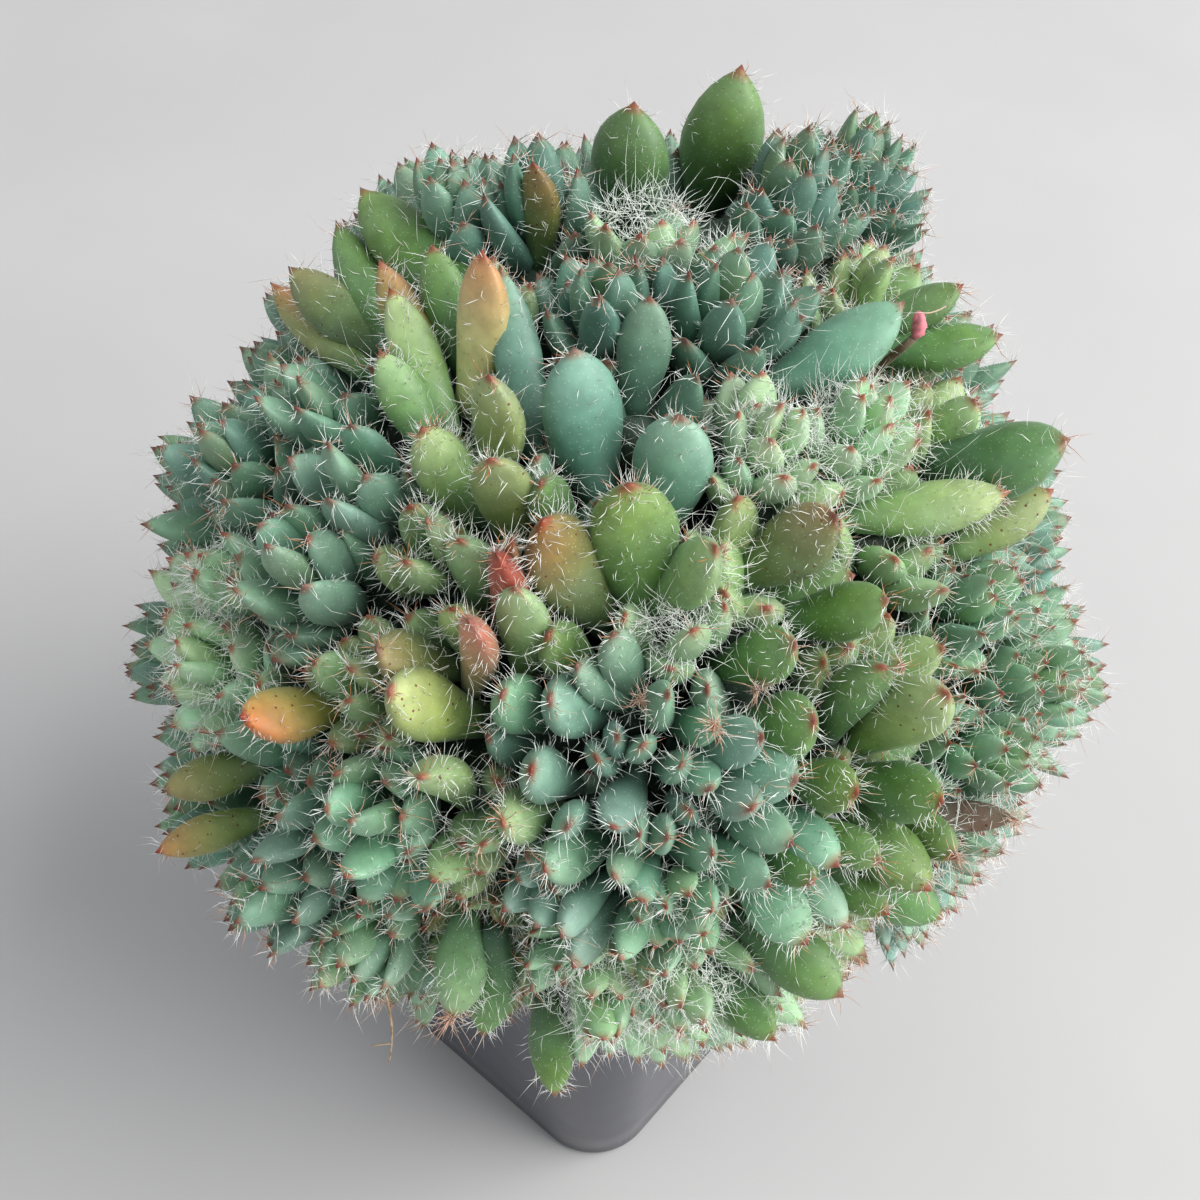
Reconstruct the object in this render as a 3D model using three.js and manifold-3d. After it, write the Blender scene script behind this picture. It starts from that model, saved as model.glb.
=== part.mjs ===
// A clump of rundelli echeveria in a square nursery pot: a mound of rosettes with thick, club-shaped
// leaves, on a branching stem. Millimetres and degrees, +Z up, origin at the centre of the pot's bottom.
import * as THREE from 'three';
import { mergeVertices } from 'three/addons/utils/BufferGeometryUtils.js';
import Module from 'manifold-3d';

const wasm = await Module();
wasm.setup();

// The pot: a tapered square, with its side at the bottom and under the rim, and the rim's own lip.
const POT = {
  base: 49, rim: 68, height: 86, wall: 1.4, floor: 2, cornerRadius: 10,
  lipHeight: 7, lipOut: 1, lipDraft: 0.6, edge: 1, footHeight: 1.5, footIn: 0.8, holeRadius: 3, holeAt: 13,
};
const CORNER_STEPS = 4;
const HOLE_SIDES = 16;
const CLEAR_OF_POT = 0.6;
const GUARD_OUT = 1;

// The potting mix: its level, the height of its lumps and the plain hole that the stem stands in.
const SOIL = { top: 80, lump: 0.8, waves: [0.9, 0.7], holeDepth: 12, rings: 5 };

// Clear space between pieces that touch in the real thing.
const GAP = 0.3;

// The stem: its radius, the heights above the mix at which it bends, and the knot where it divides
// into one branch for each shoot.
const STEM = {
  radius: 5, sides: 8, bends: [2, 12], knot: 9.5, branchFoot: 1, branchEnd: 1.3, forkEnd: 2.6, branchSides: 3,
};

// The mound of leaves: an ellipsoid round the stem's knot, given by its half width, depth and height.
const HEART = new THREE.Vector3(4, 6, 99);
const MOUND = new THREE.Vector3(63, 63, 56);

// The mound is laid out as the photograph shows it, with +Y away from the eye, then turned on its pot.
const VIEW_TURN = 41;

// The photograph's line of sight. Each `pixel` and `tip` below is a place in its 1200 by 1200 frame.
const EYE = { distance: 200, elevation: 50, focal: 1600, centre: 600, aim: new THREE.Vector3(2.5, 0, 104) };

// A leaf's form: at a share of its length, its width and thickness as shares of the greatest ones.
const LARGE_FORM = [
  { along: 0, wide: 0.5, thick: 0.7 },
  { along: 0.5, wide: 0.96, thick: 1 },
  { along: 0.8, wide: 0.86, thick: 0.8 },
];
const SMALL_FORM = [
  { along: 0.25, wide: 0.6, thick: 0.75 },
  { along: 0.78, wide: 1, thick: 1 },
];
const LARGE_SIDES = 5;
const SMALL_SIDES = 4;
const THICKNESS = 0.64;
const UPPER_SHARE = 0.4;
const BOW = 15;

// Below this, a leaf counts as standing straight out, and its upper face turns to the sky.
const STRAIGHT = 0.05;

// Where along it, and how high on the mound, a leaf that stands out leaves the others, and how far it
// may bow for that against its length.
const THROUGH = { along: 0.42, height: 0.97, mostBow: 0.9 };

// Kinds of rosette: length and width of the outermost and the innermost leaf, and the widest pitch of
// a leaf from the rosette's own axis.
const KINDS = {
  blue: { outer: [15, 5.4], inner: [9, 3.6], spread: 72 },
  hairy: { outer: [12.5, 4.6], inner: [7, 3], spread: 74 },
  small: { outer: [9.5, 4], inner: [5, 2.8], spread: 62 },
  green: { outer: [15, 6.2], inner: [9, 4.2], spread: 66 },
  full: { outer: [17, 7.2], inner: [8, 4], spread: 78 },
};

// How leaves sit on a rosette: depths of the lowest and highest root under the crown, the core that
// they grow from, and how closely they stand.
const ROOT_DEPTH = { outer: 8.5, inner: 3 };
const CROWN_INSET = 4;
const CORE_FORM = [
  { depth: 27, share: 0.42 },
  { depth: 7.5, share: 0.86 },
];
const CORE_TIP = 3;
const CORE_SIDES = 5;
const FORK_DEPTH = 33;
const CROWDING = 6.4;
const GOLDEN_ANGLE = 137.508;
const PITCH_STEP = 4;
const LEAST_PITCH = 6;
const UNEVEN = { azimuth: 8, length: 0.08, pitch: 0.06 };

// Rosettes on the mound's flanks face a little upwards, by this much.
const LIFT = 0.3;

// Walls between rosettes: how far off a neighbour still counts, how many of the nearest walls set a
// rosette's room, how far off a wall still cuts, and how far leaves and their tips keep inside.
const WALLS = { countWithin: 75, nearest: 4, cutWithin: 26, leafShare: 0.4, tipMargin: 0.3 };
const UNSEEN_REACH = 1.3;

// Where along two leaves their distance is measured, and the least distance against their widths.
const STATIONS = [0.65, 0.85, 1];
const NEAR_SHARE = 0.36;
const MEETING = { same: 0.65, other: 0.3 };

// The leaves of a spiral that are modelled, and how much wider to make up for the rest.
const SOLID_WIDTH = 1.15;
const MOST_LEAVES = { alone: 6, forked: 4 };

// Shoots that the photograph shows. Each is one rosette, or a few that share a branch.
const SEEN = [
  { shoot: 'top_mid', kind: 'hairy', pixel: [646, 190], reach: 1, height: 1 },
  { shoot: 'top_mid_low', kind: 'blue', pixel: [608, 292], reach: 1, height: 1 },
  { shoot: 'top_right', kind: 'blue', pixel: [795, 160], reach: 1, height: 1.04 },
  { shoot: 'top_far_right', kind: 'hairy', pixel: [872, 140], reach: 1, height: 1.06 },
  { shoot: 'upper_right', kind: 'blue', pixel: [735, 290], reach: 1, height: 1 },
  { shoot: 'shoulder_right', kind: 'green', pixel: [900, 285], reach: 1, height: 0.97 },
  { shoot: 'crown_right', kind: 'hairy', pixel: [792, 425], reach: 1, height: 1.03 },
  { shoot: 'crown_right', kind: 'hairy', pixel: [878, 405], reach: 1, height: 1.02 },
  { shoot: 'side_right', kind: 'green', pixel: [968, 420], reach: 1, height: 0.96 },
  { shoot: 'centre_top', kind: 'blue', pixel: [640, 400], reach: 1.1, height: 1 },
  { shoot: 'centre_young', kind: 'small', pixel: [545, 470], reach: 0.8, height: 0.97 },
  { shoot: 'top_left', kind: 'blue', pixel: [540, 180], reach: 1, height: 1 },
  { shoot: 'top_far_left', kind: 'blue', pixel: [440, 185], reach: 1, height: 1.01 },
  { shoot: 'ridge_top', kind: 'green', pixel: [455, 300], reach: 0.9, height: 1 },
  { shoot: 'back_left', kind: 'blue', pixel: [325, 375], reach: 1, height: 0.97 },
  { shoot: 'ridge_upper', kind: 'green', pixel: [455, 420], reach: 0.9, height: 1 },
  { shoot: 'left_upper', kind: 'blue', pixel: [345, 470], reach: 1, height: 1 },
  { shoot: 'left_far', kind: 'blue', pixel: [215, 455], reach: 1, height: 0.97 },
  { shoot: 'left_mid', kind: 'blue', pixel: [285, 565], reach: 1, height: 1 },
  { shoot: 'left_hairy', kind: 'hairy', pixel: [178, 660], reach: 1, height: 1 },
  { shoot: 'left_hairy', kind: 'hairy', pixel: [190, 585], reach: 0.9, height: 1 },
  { shoot: 'club_left', kind: 'green', pixel: [415, 550], reach: 0.8, height: 1 },
  { shoot: 'centre', kind: 'green', pixel: [600, 560], reach: 0.9, height: 1 },
  { shoot: 'right_brown', kind: 'green', pixel: [780, 560], reach: 1, height: 1 },
  { shoot: 'right_pale', kind: 'green', pixel: [935, 530], reach: 1, height: 0.97 },
  { shoot: 'centre_hairy', kind: 'hairy', pixel: [685, 630], reach: 0.9, height: 1 },
  { shoot: 'ridge_low', kind: 'green', pixel: [445, 660], reach: 0.9, height: 1 },
  { shoot: 'low_left_inner', kind: 'green', pixel: [345, 700], reach: 0.9, height: 1 },
  { shoot: 'smooth_mid', kind: 'blue', pixel: [553, 750], reach: 1, height: 1 },
  { shoot: 'small_mid', kind: 'small', pixel: [640, 745], reach: 0.8, height: 1 },
  { shoot: 'right_inner', kind: 'blue', pixel: [762, 700], reach: 1, height: 1 },
  { shoot: 'right_green', kind: 'green', pixel: [885, 680], reach: 1, height: 0.98 },
  { shoot: 'right_upper', kind: 'hairy', pixel: [1000, 610], reach: 1, height: 0.98 },
  { shoot: 'right_edge', kind: 'hairy', pixel: [1066, 685], reach: 1, height: 1.01 },
  { shoot: 'right_edge_low', kind: 'hairy', pixel: [1020, 775], reach: 1, height: 1.01 },
  { shoot: 'right_edge_low', kind: 'small', pixel: [985, 865], reach: 0.8, height: 0.97 },
  { shoot: 'low_left', kind: 'blue', pixel: [262, 800], reach: 1, height: 0.98 },
  { shoot: 'low_left_mid', kind: 'hairy', pixel: [362, 820], reach: 1, height: 1 },
  { shoot: 'low_left_edge', kind: 'blue', pixel: [258, 905], reach: 1, height: 1 },
  { shoot: 'low_club', kind: 'green', pixel: [465, 830], reach: 0.9, height: 1 },
  { shoot: 'small_low', kind: 'small', pixel: [700, 820], reach: 0.8, height: 1 },
  { shoot: 'right_low', kind: 'blue', pixel: [795, 815], reach: 1, height: 0.98 },
  { shoot: 'right_low_green', kind: 'green', pixel: [890, 820], reach: 1, height: 0.96 },
  { shoot: 'low_small_hairy', kind: 'small', pixel: [590, 875], reach: 0.9, height: 1 },
  { shoot: 'low_small_hairy', kind: 'hairy', pixel: [690, 910], reach: 0.9, height: 1 },
  { shoot: 'low_right_green', kind: 'green', pixel: [805, 925], reach: 1, height: 0.95 },
  { shoot: 'low_front_left', kind: 'hairy', pixel: [348, 968], reach: 1, height: 0.98 },
  { shoot: 'low_front', kind: 'green', pixel: [462, 982], reach: 1, height: 0.93 },
  { shoot: 'bottom', kind: 'hairy', pixel: [600, 1030], reach: 1, height: 0.99 },
  { shoot: 'bottom', kind: 'hairy', pixel: [692, 1016], reach: 0.9, height: 0.99 },
];

// Shoots on the far side, by bearing (0 towards the eye, positive to the right), tilt from upright and
// height on the mound.
const UNSEEN = [
  { shoot: 'far_right', kind: 'full', bearing: 84, tilt: 58, height: 0.87 },
  { shoot: 'far_right', kind: 'full', bearing: 74, tilt: 90, height: 0.94 },
  { shoot: 'rear_right', kind: 'full', bearing: 112, tilt: 56, height: 0.89 },
  { shoot: 'rear_right', kind: 'full', bearing: 100, tilt: 90, height: 0.93 },
  { shoot: 'rear_mid_right', kind: 'full', bearing: 138, tilt: 66, height: 0.96 },
  { shoot: 'rear_mid_right', kind: 'full', bearing: 126, tilt: 95, height: 0.96 },
  { shoot: 'rear_upper', kind: 'full', bearing: 174, tilt: 34, height: 0.94 },
  { shoot: 'rear_upper', kind: 'full', bearing: 163, tilt: 59, height: 0.96 },
  { shoot: 'rear_mid', kind: 'full', bearing: 152, tilt: 95, height: 0.97 },
  { shoot: 'rear_mid', kind: 'full', bearing: 178, tilt: 88, height: 0.98 },
  { shoot: 'rear_left', kind: 'full', bearing: -170, tilt: 57, height: 0.96 },
  { shoot: 'rear_left', kind: 'full', bearing: -145, tilt: 48, height: 0.95 },
  { shoot: 'rear_left_low', kind: 'full', bearing: -155, tilt: 83, height: 0.97 },
  { shoot: 'rear_far_left', kind: 'full', bearing: -124, tilt: 62, height: 0.88 },
  { shoot: 'rear_far_left', kind: 'full', bearing: -130, tilt: 94, height: 0.93 },
  { shoot: 'far_left_upper', kind: 'full', bearing: -104, tilt: 53, height: 0.84 },
  { shoot: 'far_left', kind: 'full', bearing: -97, tilt: 72, height: 0.9 },
  { shoot: 'far_left', kind: 'full', bearing: -104, tilt: 97, height: 0.94 },
  { shoot: 'far_left_low', kind: 'full', bearing: -78, tilt: 90, height: 0.92 },
  { shoot: 'far_left_low', kind: 'full', bearing: -56, tilt: 92, height: 0.95 },
];

// Leaves that stand out in the photograph: the shoot that each grows from, its tip, where it comes out
// from among the others, how far the tip stands from the mound's heart against the mound's own surface,
// the root's depth under the crown, and the leaf's width.
const STANDING = [
  { shoot: 'top_far_left', tip: [362, 190], base: [436, 240], height: 0.99, root: 7, width: 8.4 },
  { shoot: 'top_far_left', tip: [337, 223], base: [372, 296], height: 0.97, root: 8, width: 5.6 },
  { shoot: 'back_left', tip: [290, 268], base: [338, 312], height: 1, root: 8, width: 6.2 },
  { shoot: 'back_left', tip: [272, 284], base: [318, 330], height: 0.97, root: 8, width: 5 },
  { shoot: 'ridge_top', tip: [380, 262], base: [418, 352], height: 1.03, root: 8, width: 5 },
  { shoot: 'ridge_top', tip: [432, 246], base: [440, 320], height: 1.04, root: 7, width: 5 },
  { shoot: 'ridge_top', tip: [482, 252], base: [449, 368], height: 1.1, root: 6, width: 5.6 },
  { shoot: 'ridge_top', tip: [390, 290], base: [424, 384], height: 1.02, root: 8, width: 5.2 },
  { shoot: 'ridge_top', tip: [500, 268], base: [516, 405], height: 1.04, root: 8, width: 5 },
  { shoot: 'ridge_upper', tip: [380, 352], base: [408, 420], height: 1, root: 8, width: 5 },
  { shoot: 'ridge_upper', tip: [422, 428], base: [451, 492], height: 1.06, root: 7, width: 5 },
  { shoot: 'ridge_upper', tip: [489, 376], base: [474, 452], height: 1.09, root: 6, width: 5.4 },
  { shoot: 'ridge_upper', tip: [490, 459], base: [500, 522], height: 1.09, root: 5, width: 5 },
  { shoot: 'club_left', tip: [459, 540], base: [458, 596], height: 1.05, root: 5, width: 4.8 },
  { shoot: 'club_left', tip: [496, 554], base: [480, 622], height: 1.1, root: 5, width: 4.7 },
  { shoot: 'centre', tip: [543, 520], base: [597, 606], height: 1.1, root: 5, width: 6.4 },
  { shoot: 'centre', tip: [629, 484], base: [642, 590], height: 1.09, root: 5, width: 8.2 },
  { shoot: 'centre', tip: [716, 547], base: [656, 594], height: 1.07, root: 5, width: 5.8 },
  { shoot: 'centre', tip: [541, 482], base: [566, 520], height: 1.02, root: 7, width: 5.4 },
  { shoot: 'centre_top', tip: [574, 349], base: [598, 456], height: 1.08, root: 7, width: 7.4 },
  { shoot: 'centre_top', tip: [650, 297], base: [640, 376], height: 1.05, root: 7, width: 5.6 },
  { shoot: 'centre_top', tip: [680, 416], base: [668, 492], height: 1.05, root: 8, width: 8 },
  { shoot: 'ridge_low', tip: [514, 588], base: [509, 676], height: 1.07, root: 6, width: 4.7 },
  { shoot: 'ridge_low', tip: [468, 620], base: [451, 688], height: 1.09, root: 6, width: 4.6 },
  { shoot: 'ridge_low', tip: [375, 655], base: [430, 658], height: 1.06, root: 6, width: 5.2 },
  { shoot: 'ridge_low', tip: [388, 686], base: [456, 706], height: 1.08, root: 5, width: 5.8 },
  { shoot: 'low_club', tip: [420, 778], base: [444, 822], height: 1.09, root: 5, width: 5.4 },
  { shoot: 'low_left_inner', tip: [241, 717], base: [316, 718], height: 1.07, root: 6, width: 5.8 },
  { shoot: 'low_left', tip: [163, 790], base: [218, 784], height: 1.03, root: 7, width: 5 },
  { shoot: 'low_left_edge', tip: [157, 852], base: [220, 848], height: 1.05, root: 6, width: 4.6 },
  { shoot: 'top_mid', tip: [634, 104], base: [638, 188], height: 1.1, root: 7, width: 9.2 },
  { shoot: 'top_right', tip: [741, 68], base: [706, 190], height: 1.16, root: 7, width: 9 },
  { shoot: 'shoulder_right', tip: [962, 285], base: [902, 292], height: 1.03, root: 7, width: 5.8 },
  { shoot: 'shoulder_right', tip: [903, 303], base: [818, 345], height: 1.03, root: 6, width: 7.6 },
  { shoot: 'side_right', tip: [1068, 440], base: [955, 440], height: 1.1, root: 7, width: 7.6 },
  { shoot: 'side_right', tip: [1001, 335], base: [928, 327], height: 1.03, root: 7, width: 6.2 },
  { shoot: 'right_pale', tip: [1052, 490], base: [1002, 537], height: 1.02, root: 7, width: 5.4 },
  { shoot: 'right_pale', tip: [1008, 492], base: [905, 506], height: 1.03, root: 6, width: 6 },
  { shoot: 'right_brown', tip: [836, 516], base: [768, 566], height: 1.05, root: 5, width: 7.4 },
  { shoot: 'right_brown', tip: [888, 600], base: [818, 614], height: 1.04, root: 6, width: 6.2 },
  { shoot: 'right_green', tip: [948, 693], base: [898, 746], height: 1.08, root: 5, width: 7.4 },
  { shoot: 'right_green', tip: [884, 666], base: [866, 734], height: 1.04, root: 5, width: 6 },
  { shoot: 'right_low_green', tip: [943, 802], base: [892, 804], height: 1.04, root: 6, width: 6.4 },
  { shoot: 'right_low_green', tip: [929, 890], base: [897, 846], height: 1.03, root: 6, width: 7.4 },
  { shoot: 'low_right_green', tip: [942, 918], base: [884, 922], height: 1, root: 7, width: 6.2 },
  { shoot: 'low_right_green', tip: [842, 996], base: [776, 964], height: 1.02, root: 7, width: 6.8 },
  { shoot: 'bottom', tip: [774, 1040], base: [724, 1022], height: 1, root: 7, width: 5.6 },
  { shoot: 'bottom', tip: [556, 1096], base: [540, 1034], height: 1.02, root: 8, width: 6 },
];

const LEAF_COLOURS = { blue: 0x6e9b87, hairy: 0x86ab97, small: 0x7fa892, green: 0x7f9f62, full: 0x74a088 };

const UP = new THREE.Vector3(0, 0, 1);
const EAST = new THREE.Vector3(1, 0, 0);
const radians = (degrees) => THREE.MathUtils.degToRad(degrees);
const mix = (a, b, share) => a + (b - a) * share;

// Repeatable random numbers between 0 and 1.
let drawState = 20261;
function draw() {
  drawState = (drawState * 16807) % 2147483647;
  return drawState / 2147483647;
}
const around = (spread) => 1 + spread * (2 * draw() - 1);

// A closed solid stitched between rings of points, all with the same number of points, each ring
// running the same way round the direction in which the rings follow each other.
function loft(rings, tip) {
  const sides = rings[0].length;
  const points = rings.flat();
  const faces = [];
  for (let i = 1; i < sides - 1; i += 1) faces.push(0, i + 1, i);
  for (let r = 0; r + 1 < rings.length; r += 1) {
    for (let i = 0; i < sides; i += 1) {
      const a = r * sides + i;
      const b = r * sides + (i + 1) % sides;
      faces.push(a, b, b + sides, a, b + sides, a + sides);
    }
  }
  const last = (rings.length - 1) * sides;
  if (tip) {
    points.push(tip);
    for (let i = 0; i < sides; i += 1) faces.push(last + i, last + (i + 1) % sides, points.length - 1);
  } else {
    for (let i = 1; i < sides - 1; i += 1) faces.push(last, last + i, last + i + 1);
  }
  const geometry = new THREE.BufferGeometry().setFromPoints(points);
  geometry.setIndex(faces);
  return geometry;
}

// From a closed geometry to a solid that can be joined and cut, and back.
function solidOf(geometry) {
  const bare = geometry.clone();
  bare.deleteAttribute('normal');
  bare.deleteAttribute('uv');
  const merged = mergeVertices(bare);
  return new wasm.Manifold(new wasm.Mesh({
    numProp: 3,
    vertProperties: new Float32Array(merged.attributes.position.array),
    triVerts: new Uint32Array(merged.index.array),
  }));
}

function geometryOf(solid) {
  const mesh = solid.getMesh();
  const geometry = new THREE.BufferGeometry();
  geometry.setAttribute('position', new THREE.BufferAttribute(new Float32Array(mesh.vertProperties), 3));
  geometry.setIndex(Array.from(mesh.triVerts));
  geometry.computeVertexNormals();
  return geometry;
}

// The largest body of a solid: loose scraps are dropped and sealed hollows are filled.
function mainBody(solid) {
  return solid.decompose().sort((a, b) => b.volume() - a.volume())[0];
}

// A box lying beyond a plane, to cut away all that is past it.
function beyond(point, normal) {
  const size = 160;
  const box = new THREE.BoxGeometry(size, size, size);
  const turn = new THREE.Quaternion().setFromUnitVectors(UP, normal);
  box.applyQuaternion(turn);
  const middle = point.clone().addScaledVector(normal, size / 2);
  box.translate(middle.x, middle.y, middle.z);
  return solidOf(box);
}

// A tapered round rod through points, each with its own radius.
function rod(points, radii, sides, tip) {
  const rings = points.map((point, k) => {
    const from = points[Math.max(k - 1, 0)];
    const to = points[Math.min(k + 1, points.length - 1)];
    const along = to.clone().sub(from).normalize();
    const x = (Math.abs(along.z) > 0.9 ? EAST : UP).clone().cross(along).normalize();
    const y = along.clone().cross(x);
    return Array.from({ length: sides }, (_, i) => {
      const turn = (2 * Math.PI * i) / sides;
      return point.clone().addScaledVector(x, radii[k] * Math.cos(turn))
        .addScaledVector(y, radii[k] * Math.sin(turn));
    });
  });
  return loft(rings, tip);
}

// The photograph's line of sight through a pixel, and where it meets the mound, or passes nearest to
// it, when the mound is scaled about its heart.
function onMound([px, py], height) {
  const tilt = radians(EYE.elevation);
  const forward = new THREE.Vector3(0, Math.cos(tilt), -Math.sin(tilt));
  const up = new THREE.Vector3(0, Math.sin(tilt), Math.cos(tilt));
  const eye = EYE.aim.clone().addScaledVector(forward, -EYE.distance);
  const ray = forward.clone().addScaledVector(up, -(py - EYE.centre) / EYE.focal);
  ray.x += (px - EYE.centre) / EYE.focal;
  const size = MOUND.clone().multiplyScalar(height);
  const from = eye.clone().sub(HEART).divide(size);
  const step = ray.clone().divide(size);
  const a = step.dot(step);
  const b = step.dot(from);
  const reach = Math.max(b * b - a * (from.dot(from) - 1), 0);
  return eye.addScaledVector(ray, (-b - Math.sqrt(reach)) / a);
}

function bearingPoint({ bearing, tilt, height }) {
  const side = Math.sin(radians(tilt));
  const place = new THREE.Vector3(
    side * Math.sin(radians(bearing)), -side * Math.cos(radians(bearing)), Math.cos(radians(tilt)),
  );
  return place.multiply(MOUND).multiplyScalar(height).add(HEART);
}

// Each rosette: its place on the mound, its crown a little below it, its axis from the heart and the
// way that it faces.
function placeRosettes() {
  return [...SEEN, ...UNSEEN].map((entry) => {
    const surface = entry.pixel ? onMound(entry.pixel, entry.height) : bearingPoint(entry);
    const axis = surface.clone().sub(HEART).normalize();
    const facing = axis.clone().addScaledVector(UP, LIFT * Math.sqrt(1 - axis.z ** 2)).normalize();
    const crown = surface.clone().addScaledVector(axis, -CROWN_INSET);
    const reach = entry.reach ?? UNSEEN_REACH;
    return { ...entry, surface, axis, facing, crown, reach, phase: 360 * draw() };
  });
}

// The walls between a rosette and its neighbours: planes through the heart, nearer to the rosette
// with the smaller reach.
function wallsOf(rosette, all) {
  const walls = [];
  for (const other of all) {
    const apart = rosette.axis.angleTo(other.axis);
    if (other === rosette || apart > radians(WALLS.countWithin)) continue;
    const share = rosette.reach / (rosette.reach + other.reach);
    const hinge = rosette.axis.clone().cross(other.axis).normalize();
    const line = rosette.axis.clone().applyAxisAngle(hinge, apart * share);
    walls.push({ normal: hinge.clone().cross(line).normalize(), apart: apart * share });
  }
  return walls.sort((a, b) => a.apart - b.apart);
}

// The mean distance from a rosette's axis to its nearest walls, at the mound's surface.
function roomOf(rosette) {
  const near = rosette.walls.slice(0, WALLS.nearest);
  const apart = near.reduce((sum, wall) => sum + wall.apart, 0) / near.length;
  return apart * rosette.surface.distanceTo(HEART);
}

// A leaf from its root to its tip, bowed towards the rosette's axis. A leaf that stands out is bowed so
// that it comes through the place where it leaves the others.
function leafBetween(root, tip, axis, width, through) {
  const chord = tip.clone().sub(root);
  const way = through ? tip.clone().sub(through).normalize() : chord.clone().normalize();
  const up = axis.clone().addScaledVector(way, -axis.dot(way));
  if (up.length() < STRAIGHT) up.copy(UP).addScaledVector(way, -way.z);
  up.normalize();
  const bow = up.clone().multiplyScalar(-Math.tan(radians(BOW)) * chord.length());
  if (through) {
    bow.copy(through).sub(root).projectOnPlane(chord.clone().normalize());
    bow.divideScalar(THROUGH.along * (1 - THROUGH.along)).clampLength(0, THROUGH.mostBow * chord.length());
  }
  return { root, chord, bow, up, side: up.clone().cross(way), width };
}

function leafCentre(leaf, along) {
  return leaf.root.clone().addScaledVector(leaf.chord, along)
    .addScaledVector(leaf.bow, along * (1 - along));
}

function leafUp(leaf, along) {
  const way = leaf.chord.clone().addScaledVector(leaf.bow, 1 - 2 * along).normalize();
  return leaf.up.clone().addScaledVector(way, -way.dot(leaf.up)).normalize();
}

function leafGeometry(leaf, form, sides, grow) {
  const halfWidth = leaf.width / 2 + grow;
  const thickness = leaf.width * THICKNESS + 2 * grow;
  const rings = form.map(({ along, wide, thick }) => {
    const centre = leafCentre(leaf, along);
    const up = leafUp(leaf, along);
    return Array.from({ length: sides }, (_, i) => {
      const turn = radians(-90 + (360 * i) / sides);
      const face = Math.sin(turn) > 0 ? UPPER_SHARE : 1 - UPPER_SHARE;
      return centre.clone().addScaledVector(leaf.side, halfWidth * wide * Math.cos(turn))
        .addScaledVector(up, thickness * face * thick * Math.sin(turn));
    });
  });
  return loft(rings, leafCentre(leaf, 1 + grow / leaf.chord.length()));
}

// Whether a leaf keeps within its rosette's walls and off the pot.
function isClear(leaf, walls) {
  const inset = leaf.width / 2 * WALLS.leafShare;
  for (const along of [0.4, ...STATIONS]) {
    const centre = leafCentre(leaf, along);
    const arm = centre.clone().sub(HEART);
    const need = along < 1 ? inset : WALLS.tipMargin;
    if (walls.some((wall) => wall.normal.dot(arm) > -need)) return false;
    const placed = centre.applyAxisAngle(UP, radians(VIEW_TURN));
    const clear = CLEAR_OF_POT + leaf.width * THICKNESS / 2;
    const edge = POT.rim / 2 + POT.lipOut + clear;
    const overPot = Math.abs(placed.x) < edge && Math.abs(placed.y) < edge;
    if (overPot && placed.z < POT.height + clear) return false;
  }
  return true;
}

// Whether two leaves come too close, past the part near the root where leaves of one rosette meet.
function isNear(leaf, other, from) {
  const least = NEAR_SHARE * (leaf.width + other.width);
  for (const a of [from, ...STATIONS]) {
    const here = leafCentre(leaf, a);
    for (const b of [from, ...STATIONS]) {
      if (here.distanceTo(leafCentre(other, b)) < least) return true;
    }
  }
  return false;
}

function spiralLeaf(rosette, share, azimuth, pitch, stretch) {
  const { outer, inner } = KINDS[rosette.kind];
  const axis = rosette.facing;
  const east = UP.clone().cross(axis).normalize();
  const north = axis.clone().cross(east);
  const out = east.multiplyScalar(Math.cos(radians(azimuth)))
    .addScaledVector(north, Math.sin(radians(azimuth)));
  const depth = mix(ROOT_DEPTH.inner, ROOT_DEPTH.outer, share);
  const root = rosette.crown.clone().addScaledVector(axis, -depth);
  const length = mix(inner[0], outer[0], share) * stretch;
  const tip = root.clone().addScaledVector(axis, length * Math.cos(radians(pitch)))
    .addScaledVector(out, length * Math.sin(radians(pitch)));
  return leafBetween(root, tip, axis, mix(inner[1], outer[1], share));
}

// The leaves of a rosette's spiral: from the outermost inwards, each a golden angle on, and pitched
// so that the tips share out the space between the walls evenly.
function spiralLeaves(rosette, standing) {
  const { outer, spread } = KINDS[rosette.kind];
  const count = Math.round(CROWDING * (rosette.room / outer[1]) ** 2);
  const leaves = [];
  for (let i = 0; i < count; i += 1) {
    const share = Math.sqrt((count - i - 0.5) / count);
    const azimuth = rosette.phase + i * GOLDEN_ANGLE + UNEVEN.azimuth * (draw() - 0.5);
    const stretch = around(UNEVEN.length);
    const lean = around(UNEVEN.pitch);
    let pitch = spread;
    const fits = (at) => isClear(spiralLeaf(rosette, 1, azimuth, at, stretch), rosette.walls);
    while (pitch > LEAST_PITCH && !fits(pitch)) pitch -= PITCH_STEP;
    const leaf = spiralLeaf(rosette, share, azimuth, pitch * share * lean, stretch);
    const blocked = standing.some(
      (other) => isNear(leaf, other, other.rosette === rosette ? MEETING.same : MEETING.other),
    );
    if (!blocked && isClear(leaf, rosette.walls)) leaves.push(leaf);
  }
  return leaves;
}

// Standing leaves grow from the rosette of their shoot that is nearest to the tip.
function standingLeaves(rosettes) {
  return STANDING.map((entry) => {
    const tip = onMound(entry.tip, entry.height);
    const own = rosettes.filter((rosette) => rosette.shoot === entry.shoot);
    const rosette = own.sort((a, b) => a.crown.distanceTo(tip) - b.crown.distanceTo(tip))[0];
    const root = rosette.crown.clone().addScaledVector(rosette.axis, -entry.root);
    const through = onMound(entry.base, THROUGH.height);
    return { ...leafBetween(root, tip, rosette.facing, entry.width, through), rosette };
  });
}

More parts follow.
